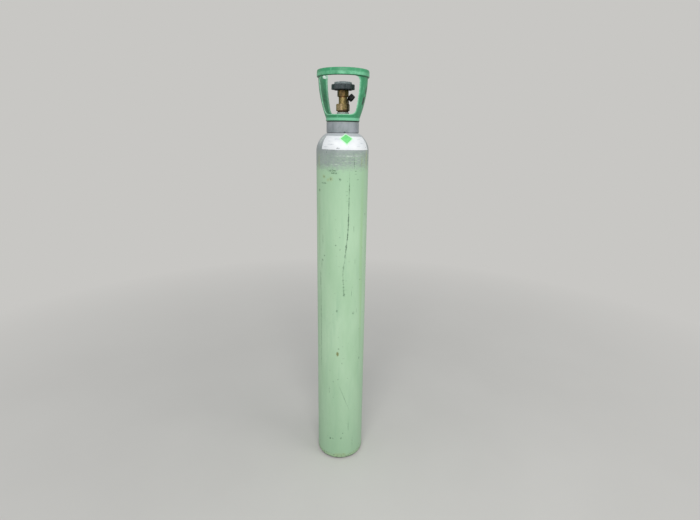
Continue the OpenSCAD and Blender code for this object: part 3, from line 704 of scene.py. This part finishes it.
# ---------------------------------------------------------------- test date ring
# A moulded collar round the valve's stem, whose colour tells the year of the test.
low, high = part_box("test_date_ring")
date_r, date_low, date_top = high.x / MM, low.z / MM, high.z / MM
STEM_R = 13.9
date_bore = STEM_R + 0.1
date_profile = np.array([
    [date_bore, date_low], [date_r - 0.8, date_low], [date_r - 0.2, date_low + 0.3],
    [date_r, date_low + 1.0], [date_r, date_top - 1.0], [date_r - 0.3, date_top - 0.3],
    [date_r - 1.0, date_top], [date_bore, date_top], [date_bore, date_low]])
date_ring = skin("moulded_date_ring", [turned(date_profile, 72)])
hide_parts("test_date_ring")
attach(date_ring, "cylinder")
# Moulded polypropylene, dusty and dull.
dull_plastic, add = new_finish("moulded polypropylene")
solid = add("TexCoord").outputs["Object"]
colour = cloudy(add, mottle(add, solid, 0.2), 0.3, 0.7, "#7f8d85", "#a3b0a8")
finish_off(add, dull_plastic, [date_ring], colour, mottle(add, solid, 0.8), 0.06, Roughness=0.6)


# ---------------------------------------------------------------- valve body
# A brass forging: a tapered thread in the neck, a stem, a wrench hexagon with turned
# corners, a round neck, and a threaded outlet with a groove for the cap's tether.
def hexagon(af, turn):
    """Radius of a regular hexagon along an angle in degrees, with corners a little rounded off."""
    folded = np.radians((turn + 30) % 60 - 30)
    return np.minimum(af / 2 / np.cos(folded), af / math.sqrt(3) * 0.992)


def nutted(rows, first_turn, around=240):
    """A turned piece with wrench flats. Each row is a radius, a height, and the size across the flats,
    or None where it is round; the radius at an angle is the lesser of the circle's and the hexagon's."""
    turn = steps(-180, 180, around)
    r = np.stack([np.minimum(row[0], hexagon(row[2], turn - first_turn)) if row[2] else row[0] + 0 * turn
                  for row in rows])
    z = np.array([row[1] for row in rows])[:, None]
    return place(turn, r, z), np.stack(np.broadcast_arrays(np.radians(turn) * 15 * MM, z * MM), -1)


HEX_AF = 32.5
HEX_H = 18.0
STEM_H = 10.0
VALVE_NECK_R = 11.05
VALVE_NECK_H = 16.0
hex_z = neck_top + STEM_H
valve_neck_z = hex_z + HEX_H
gland_z = valve_neck_z + VALVE_NECK_H
hex_corner = HEX_AF / math.sqrt(3) - 0.8
body_rows = [(0.0, neck_top - 3, None), (STEM_R - 0.4, neck_top - 3, None), (STEM_R, neck_top - 2, None),
             (STEM_R, hex_z - 0.6, None), (STEM_R + 0.3, hex_z, None)]
body_rows += [(hex_corner - 2 + d, hex_z + 0.9 * d, HEX_AF) for d in (0.0, 0.25, 0.5, 1.0, 1.5, 2.0)]
body_rows += [(hex_corner, hex_z + d, HEX_AF) for d in (4, 8, 12)]
body_rows += [(hex_corner - d, valve_neck_z - 2 + 0.9 * d, HEX_AF) for d in (0.0, 0.5, 1.0, 1.5, 2.0)]
body_rows += [(VALVE_NECK_R + 1.0, valve_neck_z + 0.1, None),
              (VALVE_NECK_R + 0.3, valve_neck_z + 0.4, None), (VALVE_NECK_R, valve_neck_z + 1.2, None),
              (VALVE_NECK_R, gland_z - 0.8, None), (VALVE_NECK_R - 0.4, gland_z, None),
              (0.0, gland_z, None)]
OUTLET_BEARING = 166.5
OUTLET_R = 7.6
BOSS_R = 10.0
GROOVE_R = 6.8
GROOVE_LEN = 4.0
OUTLET_LEN = 13.0
outlet_z = valve_neck_z + 4.5
boss_x = HEX_AF / math.sqrt(3) - 0.3
thread_x = boss_x + GROOVE_LEN


def at_outlet(grid, spin=0.0):
    """Carries points that are built round +Z, in millimetres, on to the outlet's axis: turned about
    their own axis, laid over towards the front, lifted, and swung to the outlet's bearing."""
    spun = grid @ np.array(Matrix.Rotation(math.radians(spin), 3, "Z").transposed())
    laid = np.stack([spun[..., 0], -spun[..., 2], spun[..., 1] + outlet_z], -1)
    return laid @ np.array(Matrix.Rotation(math.radians(OUTLET_BEARING), 3, "Z").transposed()) * MM


def round_z(profile, around=64):
    """A profile of radius and distance along +Z, carried round that axis, in millimetres."""
    turn = steps(-math.pi, math.pi, around)
    r, z = profile[:, 0:1], profile[:, 1:2]
    return np.stack([r * np.sin(turn), -r * np.cos(turn), z + 0 * turn], -1)


PITCH = 1.81
ridges = []
for i in range(6):
    at = thread_x + 1.1 + i * PITCH
    ridges += [[OUTLET_R - 0.85, at], [OUTLET_R, at + 0.42 * PITCH], [OUTLET_R, at + 0.58 * PITCH]]
outlet_profile = np.array(
    [[0.0, 2.0], [BOSS_R, 2.0], [BOSS_R, boss_x - 0.5], [BOSS_R - 0.5, boss_x], [GROOVE_R, boss_x],
     [GROOVE_R, thread_x], [OUTLET_R - 0.85, thread_x]] + ridges +
    [[OUTLET_R - 0.85, thread_x + OUTLET_LEN - 0.4], [OUTLET_R - 1.2, thread_x + OUTLET_LEN],
     [OUTLET_R - 1.9, thread_x + OUTLET_LEN], [OUTLET_R - 2.1, thread_x + OUTLET_LEN - 0.4],
     [3.0, thread_x + OUTLET_LEN - 4.0], [3.0, thread_x], [0.0, thread_x]])
outlet_grid = at_outlet(round_z(outlet_profile))
body = skin("forged_valve_body", [
    nutted(body_rows, GUARD_BEARING + 30), (outlet_grid, np.zeros(outlet_grid.shape[:2] + (2,)))], 40)
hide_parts("valve_body")
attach(body, "cylinder")


def brass_finish(name, pale, mid, dark):
    """Weathered brass, whose tarnish goes from pale to dark in cloudy patches. Returns the material,
    the function that adds its nodes, the place on the piece and the colour so far."""
    material, add = new_finish(name)
    solid = add("TexCoord").outputs["Object"]
    colour = cloudy(add, mottle(add, solid, 0.14, detail=5), 0.42, 0.66, mid, pale)
    deep = add("MapRange", mottle(add, solid, 0.22, (1, 1, 0.7), 6, 0.7), 0.5, 0.68)
    return material, add, solid, add("MixRGB", deep, colour, dark)


# Weathered brass forging: tarnished ochre, paler on the wrench flats to one side as painted highlight with
# some rubbing, and darker on the other as painted shade, with a reddish brown stain low on the hexagon.
forged, add, solid, colour = brass_finish("weathered forged brass", "#b09a62", "#7f6d45", "#3d331e")
height = height_of(add, solid)
low_down = add("MapRange", height, hex_z + 8, hex_z + 1, 0, 0.34)
stain = add("Math", low_down, mottle(add, solid, 0.18), operation="ADD")
colour = add("MixRGB", add("MapRange", stain, 0.66, 0.78, 0, 0.9), colour, "#512d1c")
# Painted highlight with some rubbing: the flats towards -X are painted paler
flats = between(add, height, hex_z, hex_z + 3, valve_neck_z - 2, valve_neck_z + 1)
rubbed = add("MapRange", mottle(add, solid, 0.3), 0.36, 0.58, 0.1, 0.85)
rubbed = add("Math", flats, rubbed, operation="MULTIPLY")
aside = add("SeparateXYZ", solid).outputs[0]
rubbed = add("Math", rubbed, add("MapRange", aside, 1 * MM, -4 * MM), operation="MULTIPLY")
colour = add("MixRGB", rubbed, colour, "#cbae8a")
# Painted shade: the side towards +X, on the right from the front, is painted darker
painted_shade_side = add("MapRange", mottle(add, solid, 0.2), 0.36, 0.58)
painted_shade_side = add("Math", add("MapRange", aside, 2 * MM, 10 * MM, 0, 0.9), painted_shade_side, operation="MULTIPLY")
colour = add("MixRGB", painted_shade_side, colour, "#322b1b")
finish_off(add, forged, [body], colour, mottle(add, solid, 0.35, detail=5), 0.3, Metallic=0.6,
           Roughness=add("MapRange", mottle(add, solid, 0.25), 0.3, 0.7, 0.5, 0.7))


# ---------------------------------------------------------------- gland nut
# A turned hexagon nut that closes the valve's top round the spindle.
GLAND_AF = 27.0
GLAND_H = 16.5
nut_z = gland_z + 1.0
nut_top = nut_z + GLAND_H
nut_corner = GLAND_AF / math.sqrt(3) - 0.6
nut_rows = [(VALVE_NECK_R + 0.2, nut_z, None), (nut_corner - 1.8, nut_z, GLAND_AF)]
nut_rows += [(nut_corner - 1.8 + d, nut_z + 0.8 * d, GLAND_AF) for d in (0.5, 1.0, 1.4, 1.8)]
nut_rows += [(nut_corner, nut_z + d, GLAND_AF) for d in (4, 8, 12)]
nut_rows += [(nut_corner - d, nut_top - 2.0 + 0.8 * d, GLAND_AF) for d in (0.0, 0.5, 1.0, 1.6, 2.2, 2.5)]
nut_rows += [(GLAND_AF / 2 - 0.6, nut_top, None), (4.6, nut_top, None), (4.6, nut_top - 2, None),
             (VALVE_NECK_R - 1, nut_z, None), (VALVE_NECK_R + 0.2, nut_z, None)]
nut = skin("turned_gland_nut", [nutted(nut_rows, GUARD_BEARING)], 40)
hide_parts("gland_nut")
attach(nut, "cylinder")
# Handled brass: darker and browner than the body, in cloudy patches.
tarnished, add, solid, colour = brass_finish("tarnished turned brass", "#8a7042", "#6b5733", "#33281a")
finish_off(add, tarnished, [nut], colour, mottle(add, solid, 0.5, (1, 1, 3)), 0.1, Metallic=0.6,
           Roughness=add("MapRange", mottle(add, solid, 0.3), 0.3, 0.7, 0.45, 0.62))


# ---------------------------------------------------------------- handwheel
# A moulded wheel with eight rounded lobes, a raised crown that is notched between
# them, and a dish on top. It sits on the spindle's square.
WHEEL_LOBES = 8
LOBE_R = 6.5
LOBE_OUT = 3.4
JOINT_POWER = 24
RIM_H = 13.5
CROWN_H = 5.0
WHEEL_DISH_R = 16.0
wheel_low, wheel_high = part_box("handwheel")
wheel_z, wheel_top = wheel_low.z / MM, wheel_high.z / MM
WHEEL_R = 30.0
CROWN_TOP_R = 22.8
SQUARE_R = 5.05


def lobed(turn, outer, inset):
    """Radius of the lobed rim at an angle: a disc joined with one circle for each lobe, all drawn in
    by an inset. A high power's mean takes the greater of the two and softens the joint."""
    folded = (turn + 180 / WHEEL_LOBES) % (360 / WHEEL_LOBES) - 180 / WHEEL_LOBES
    reach, r = outer - LOBE_R, LOBE_R - inset
    off = reach * np.sin(np.radians(folded))
    lobe = reach * np.cos(np.radians(folded)) + np.sqrt(np.maximum(r ** 2 - off ** 2, 0))
    lobe = np.where(np.abs(off) < r, lobe, 0)
    disc = outer - LOBE_OUT - inset
    return (lobe ** JOINT_POWER + disc ** JOINT_POWER) ** (1 / JOINT_POWER)


around = steps(-180, 180, 320)
wave = np.cos(np.radians(around * WHEEL_LOBES))
wheel_rows = []
for inset, z in ((1.6, 0.0), (0.7, 0.25), (0.15, 0.9), (0.0, 1.8), (0.0, RIM_H - 2.4), (0.2, RIM_H - 1.1),
                 (0.8, RIM_H - 0.3), (1.8, RIM_H)):
    wheel_rows.append((lobed(around, WHEEL_R, inset), wheel_z + z + 0 * around))
notch = 1.7 * np.clip(-wave * 1.6 - 0.2, 0, 1)
for r, z in ((CROWN_TOP_R + 0.6, RIM_H), (CROWN_TOP_R + 0.1, RIM_H + 0.5), (CROWN_TOP_R, RIM_H + 1.2),
             (CROWN_TOP_R - 0.1, RIM_H + CROWN_H - 1.0), (CROWN_TOP_R - 0.5, RIM_H + CROWN_H - 0.3),
             (CROWN_TOP_R - 1.4, RIM_H + CROWN_H)):
    wheel_rows.append((r - notch, wheel_z + z + 0 * around))
dish_z, hollow_z = wheel_top - 6.0, wheel_z + RIM_H - 5
for r, z in ((WHEEL_DISH_R + 0.8, wheel_top), (WHEEL_DISH_R, wheel_top - 0.6), (WHEEL_DISH_R, dish_z),
             (SQUARE_R, dish_z), (SQUARE_R, wheel_z), (WHEEL_DISH_R, wheel_z), (WHEEL_DISH_R, hollow_z),
             (WHEEL_R - 6, hollow_z), (WHEEL_R - 6, wheel_z)):
    wheel_rows.append((r + 0 * around, z + 0 * around))
wheel_rows.append(wheel_rows[0])
r = np.stack([row[0] for row in wheel_rows])
z = np.stack([row[1] for row in wheel_rows])
wheel = skin("moulded_handwheel", [(place(around + 90, r, z), np.stack([0 * r, z * MM], -1))], 48)
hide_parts("handwheel")
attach(wheel, "handwheel")
# Glass-filled black polyamide, gone grey in the weather: paler on top.
weathered, add = new_finish("weathered black polyamide")
solid = add("TexCoord").outputs["Object"]
height = height_of(add, solid)
colour = cloudy(add, mottle(add, solid, 0.12, detail=5), 0.35, 0.65, "#3c4346", "#5a6265")
on_top = add("MapRange", height, wheel_z + RIM_H - 2, wheel_z + RIM_H + 1, 0, 0.95)
greyed = add("MapRange", mottle(add, solid, 0.16, detail=5), 0.35, 0.6, 0.35, 1.0)
colour = add("MixRGB", add("Math", on_top, greyed, operation="MULTIPLY"), colour, "#a9b3b5")
colour = add("MixRGB", add("MapRange", height, wheel_z + 3, wheel_z, 0, 0.8), colour, "#23272a")
finish_off(add, weathered, [wheel], colour, mottle(add, solid, 0.6, detail=3), 0.12,
           Roughness=0.58, Specular_IOR_Level=0.35)


# ---------------------------------------------------------------- wheel cap
# A pressed aluminium disc that covers the nut in the wheel's dish.
cover_r = WHEEL_DISH_R - 0.1
cap_profile = np.concatenate([
    [[0, wheel_top + 2.2], [6.5, wheel_top + 2.2]],
    bend((8.0, wheel_top + 2.1), (cover_r - 1.5, wheel_top + 1.3), (cover_r, wheel_top - 0.2), 6),
    [[cover_r, wheel_top - 1.2], [cover_r - 2.5, wheel_top - 1.2], [cover_r - 2.5, wheel_top + 0.4],
     [6.2, wheel_top + 1.6], [0, wheel_top + 1.6]]])
cover = skin("pressed_wheel_cap", [turned(cap_profile, 96)])
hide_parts("wheel_cap")
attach(cover, "handwheel")
# Mill-finish aluminium sheet: faint rings from the press, dulled by weather.
PRESS_PITCH = 0.9
mill, add = new_finish("pressed mill aluminium")
solid = add("TexCoord").outputs["Object"]
colour = cloudy(add, mottle(add, solid, 0.15, detail=5), 0.3, 0.7, "#a9adb0", "#c9cccd")
rings = add("Math", from_axis(add, solid), 2 * math.pi / PRESS_PITCH, operation="MULTIPLY")
rings = add("Math", rings, operation="SINE")
finish_off(add, mill, [cover], colour, rings, 0.01, Metallic=1.0, Roughness=0.42)


# ---------------------------------------------------------------- dust cap
# One soft black moulding: a ring that sits in the outlet's groove, a short strap, and
# a cup with fine ribs that plugs over the thread when the cylinder is not in use.
TETHER_R = 11.0
TETHER_ANGLE = 48.0
CUP_WALL = 1.1
CUP_DEPTH = 12.0
CUP_OUT = 6.3
cup_r = OUTLET_R + 0.05 + CUP_WALL
cup_along = TETHER_R + 0.4 + cup_r
cup_across = CUP_DEPTH / 2 - 1.7
cup_x = GLAND_AF / math.sqrt(3) - 0.6 + CUP_OUT
tether_x = boss_x + 0.3
TETHER_W = GROOVE_LEN - 0.6
tether_end = tether_x + TETHER_W
tether_bore = GROOVE_R + 0.05
ring_section = np.array([
    [tether_bore, tether_x], [TETHER_R - 0.8, tether_x], [TETHER_R - 0.2, tether_x + 0.25],
    [TETHER_R, tether_x + 0.9], [TETHER_R, tether_end - 0.9], [TETHER_R - 0.2, tether_end - 0.25],
    [TETHER_R - 0.8, tether_end], [tether_bore, tether_end], [tether_bore, tether_x]])
tether_grid = at_outlet(round_z(ring_section, 72), 180 - TETHER_ANGLE)

# The strap is a rounded bar: an oval section that is carried from the ring to the cup
STRAP_W, STRAP_T = 6.0, TETHER_W - 0.6
strap_turn = steps(0, 2 * math.pi, 32)
oval = np.stack([np.sign(np.cos(strap_turn)) * np.abs(np.cos(strap_turn)) ** 0.5 * STRAP_W / 2,
                 np.sign(np.sin(strap_turn)) * np.abs(np.sin(strap_turn)) ** 0.5 * STRAP_T / 2], -1)
strap_from, strap_to = GROOVE_R + 1, cup_along - cup_r + 1.8
strap_at = np.concatenate([[strap_from], steps(strap_from, strap_to, 8), [strap_to]])
strap_size = np.array([0.0] + [1.0] * 9 + [0.0])[:, None]
strap = np.stack([strap_at[:, None] + 0 * oval[:, 0], STRAP_W / 2 - 1.2 + oval[:, 0] * strap_size,
                  tether_x + TETHER_W / 2 + oval[:, 1] * strap_size], -1)
strap_grid = at_outlet(strap, 180 - TETHER_ANGLE)

RIBS = 36
cup_bore = cup_r - CUP_WALL
cup_profile = np.array([
    [0.0, 0.0], [cup_r - 1.2, 0.0], [cup_r - 0.35, 0.35], [cup_r, 1.2], [cup_r, 2.0],
    [cup_r, CUP_DEPTH - 2.4], [cup_r, CUP_DEPTH - 1.6], [cup_r, CUP_DEPTH - 0.4], [cup_r - 0.3, CUP_DEPTH],
    [cup_bore + 0.1, CUP_DEPTH], [cup_bore, CUP_DEPTH - 0.4], [cup_bore, 1.5], [0.0, 1.5]])
cup_turn = steps(-math.pi, math.pi, RIBS * 6)
ribbed = np.array([0, 0, 0, 0, 1, 1, 0, 0, 0, 0, 0, 0, 0])[:, None]
r = cup_profile[:, 0:1] - 0.35 * ribbed * (0.5 - 0.5 * np.cos(cup_turn * RIBS))
cup = np.stack([r * np.sin(cup_turn), -r * np.cos(cup_turn), cup_profile[:, 1:2] + 0 * cup_turn], -1)
cup = np.stack([cup[..., 0] + cup_along, cup[..., 2] + cup_across - CUP_DEPTH / 2, cup_x - cup[..., 1]], -1)
cup_grid = at_outlet(cup, 180 - TETHER_ANGLE)
dust_cap = skin("moulded_dust_cap", [
    (g, np.zeros(g.shape[:2] + (2,))) for g in (tether_grid, strap_grid, cup_grid)], 48)
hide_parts("dust_cap")
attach(dust_cap, "dust_cap")
# Soft black vinyl: dark and faintly glossy, in faint cloudy patches.
vinyl, add = new_finish("moulded soft black vinyl")
solid = add("TexCoord").outputs["Object"]
colour = cloudy(add, mottle(add, solid, 0.2, detail=5), 0.35, 0.7, "#17191b", "#2b2f31")
finish_off(add, vinyl, [dust_cap], colour, mottle(add, solid, 0.8, detail=2), 0.08,
           Roughness=0.52, Specular_IOR_Level=0.4)


# ---------------------------------------------------------------- shoulder label
# A printed paper-white vinyl strip, stuck round the front of the shoulder. Its print is
# left off but for faint plain bars, and its corners are rounded.
LABEL_FROM, LABEL_TO = (-48.6, -50.5), (70.0, 69.0)
LABEL_LOW, LABEL_HIGH = (947.6, 946.4), (981.0, 979.2)
LABEL_GAP = 0.05
LABEL_T = 0.25
LABEL_CORNER = 1.5
# The shoulder's radius at the label, near enough for its corners
LABEL_R = 60.0


def on_shoulder(bearing, z, out):
    """Points on the shoulder at a bearing and height, lifted off the surface by a distance."""
    flat = shoulder_point(z, out)
    return place(bearing, flat[..., 0], flat[..., 1])


def stuck(name, sheet_point, across_n, up_n, thick):
    """A thin sheet laid on the shoulder: an outer face, an inner face and the four edges between.
    sheet_point gives a point from two shares of the way across and up, and a height off the sheet."""
    a, b = np.meshgrid(steps(0, 1, across_n), steps(0, 1, up_n))
    outer, outer_map = sheet_point(a, b, thick)
    inner, inner_map = sheet_point(a, b, 0.0)
    sheets = [(outer, outer_map), (inner, inner_map)]
    for cut in (np.s_[0, :], np.s_[-1, :], np.s_[:, 0], np.s_[:, -1]):
        sheets.append((np.stack([inner[cut], outer[cut]]), np.stack([inner_map[cut], outer_map[cut]])))
    return skin(name, sheets, 50)


def label_point(a, b, lift):
    """The strip between two edges that lean outwards as they climb, and two that dip to the right. It
    is drawn in at its corners along a quarter circle."""
    height = LABEL_HIGH[0] - LABEL_LOW[0]
    from_edge = np.minimum(b, 1 - b) * height
    short = np.maximum(LABEL_CORNER - from_edge, 0)
    drawn = LABEL_CORNER - np.sqrt(np.maximum(LABEL_CORNER ** 2 - short ** 2, 0))
    drawn = np.degrees(drawn / LABEL_R)
    left = LABEL_FROM[0] + (LABEL_FROM[1] - LABEL_FROM[0]) * b ** 1.5 + drawn
    right = LABEL_TO[0] + (LABEL_TO[1] - LABEL_TO[0]) * b ** 1.5 - drawn
    bearing = left + a * (right - left)
    low = LABEL_LOW[0] + (LABEL_LOW[1] - LABEL_LOW[0]) * a
    high = LABEL_HIGH[0] + (LABEL_HIGH[1] - LABEL_HIGH[0]) * a
    z = low + b * (high - low)
    return on_shoulder(bearing, z, LABEL_GAP + lift), np.stack([np.radians(bearing) * SHELL_R, z], -1) * MM


label = stuck("vinyl_shoulder_label", label_point, 96, 40, LABEL_T)
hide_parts("shoulder_label")
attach(label, "cylinder")
# White vinyl film, stuck on: nearly matt, a little grey with dirt in patches.
film, add = new_finish("white vinyl film")
chart = add("TexCoord").outputs["UV"]
colour = cloudy(add, mottle(add, chart, 0.05, (0.5, 1, 1)), 0.3, 0.7, "#dde1e4", "#eef0f1")
inked = add("MapRange", mottle(add, chart, 0.6, (1, 0.6, 1), 2), 0.4, 0.55)
thin_bars = ((-38, 954, 9), (-30, 968, 9), (-12, 973, 10), (-26, 960, 11), (44, 972, 8), (50, 963, 7),
             (38, 955, 8))
faint = add("MapRange", marks(add, chart, thin_bars, 0.09), 1.1, 0.8, 0, 0.55)
colour = add("MixRGB", add("Math", faint, inked, operation="MULTIPLY"), colour, "#9ba3ab")
thick_bars = ((-8.5, 950.8, 4.8), (63, 966, 1.6), (63, 953, 2.6))
bold = add("MapRange", marks(add, chart, thick_bars, 0.35), 1.2, 0.7, 0, 0.8)
colour = add("MixRGB", add("Math", bold, inked, operation="MULTIPLY"), colour, "#5d6368")
dirt = add("MapRange", mottle(add, chart, 0.1, detail=6, rough=0.7), 0.6, 0.72, 0, 0.6)
colour = add("MixRGB", dirt, colour, "#b9c0bd")
finish_off(add, film, [label], colour, mottle(add, chart, 0.06, detail=3), 0.3,
           Roughness=0.42, Specular_IOR_Level=0.4)


# ---------------------------------------------------------------- hazard label
# A square green sticker set on its point, over the strip. It is left plain, with only
# its pale border.
DIAMOND_SIDE = 26.8
DIAMOND_BEARING = 10.8
DIAMOND_Z = 974.0
DIAMOND_GAP = LABEL_GAP + LABEL_T + 0.05


def diamond_point(a, b, lift):
    """A square turned by 45 degrees: its two sides give a distance across and a distance along the
    shoulder's curve, which runs up the knuckle's circle and then the crown's."""
    p, q = (a - 0.5) * DIAMOND_SIDE, (b - 0.5) * DIAMOND_SIDE
    sideways, along = (p - q) / math.sqrt(2), (p + q) / math.sqrt(2)
    centre = math.asin((DIAMOND_Z - SIDE_H) / KNUCKLE_R)
    turn = centre + along / KNUCKLE_R
    meet = math.radians(MEET)
    turn = np.where(turn > meet, meet + (turn - meet) * KNUCKLE_R / CROWN_R, turn)
    on_crown = turn > meet
    z = np.where(on_crown, CROWN_Z + CROWN_R * np.sin(turn), SIDE_H + KNUCKLE_R * np.sin(turn))
    r = np.where(on_crown, CROWN_R * np.cos(turn), SHELL_R - KNUCKLE_R + KNUCKLE_R * np.cos(turn))
    chart = np.stack([p, q], -1) * MM
    return on_shoulder(DIAMOND_BEARING + np.degrees(sideways / r), z, DIAMOND_GAP + lift), chart


diamond = stuck("vinyl_hazard_label", diamond_point, 28, 28, LABEL_T)
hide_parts("hazard_label")
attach(diamond, "cylinder")
# Green vinyl film with a pale printed border.
BORDER_IN, BORDER_OUT = DIAMOND_SIDE / 2 - 3.2, DIAMOND_SIDE / 2 - 2.6
green_film, add = new_finish("green vinyl film")
chart = add("TexCoord").outputs["UV"]
split = add("SeparateXYZ", chart)
sides = [add("Math", split.outputs[i], operation="ABSOLUTE") for i in (0, 1)]
from_middle = add("Math", *sides, operation="MAXIMUM")
colour = cloudy(add, mottle(add, chart, 0.15), 0.3, 0.7, "#69cf76", "#82e08b")
border = add("MapRange", from_middle, BORDER_IN * MM, BORDER_OUT * MM)
colour = add("MixRGB", border, colour, "#cdf2d2")
finish_off(add, green_film, [diamond], colour, mottle(add, chart, 0.1), 0.1,
           Roughness=0.42, Specular_IOR_Level=0.4)


# ---------------------------------------------------------------- small parts
# The screws that lock the guard, and what sits inside the valve and under the wheel's
# cap. They keep their CAD shapes; each gets the finish of its own material.
for finish_name, dark, pale, metallic, roughness, members in (
        ("zinc-plated steel", "#5c6063", "#8f9496", 0.9, 0.45,
         ("guard_lock_screws", "wheel_washer", "wheel_spring", "wheel_nut")),
        ("turned stainless steel", "#8b8981", "#b5b3ab", 1.0, 0.3, ("upper_spindle",)),
        ("turned free-cutting brass", "#98803f", "#c4a862", 1.0, 0.32, ("lower_spindle",)),
        ("annealed copper sheet", "#7d4a30", "#b8744a", 1.0, 0.4, ("gland_gasket",)),
        ("moulded white PTFE", "#d8d4c6", "#efece2", 0.0, 0.5, ("thrust_washer", "seat_disc")),
        ("moulded nitrile rubber", "#181a1b", "#2b2d2f", 0.0, 0.6, ("spindle_o_ring",))):
    material, add = new_finish(finish_name)
    solid = add("TexCoord").outputs["Object"]
    colour = cloudy(add, mottle(add, solid, 0.3, detail=5), 0.3, 0.7, dark, pale)
    pieces = [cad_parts[member] for member in members]
    finish_off(add, material, pieces, colour, mottle(add, solid, 0.9), 0.05, Metallic=metallic,
               Roughness=roughness)
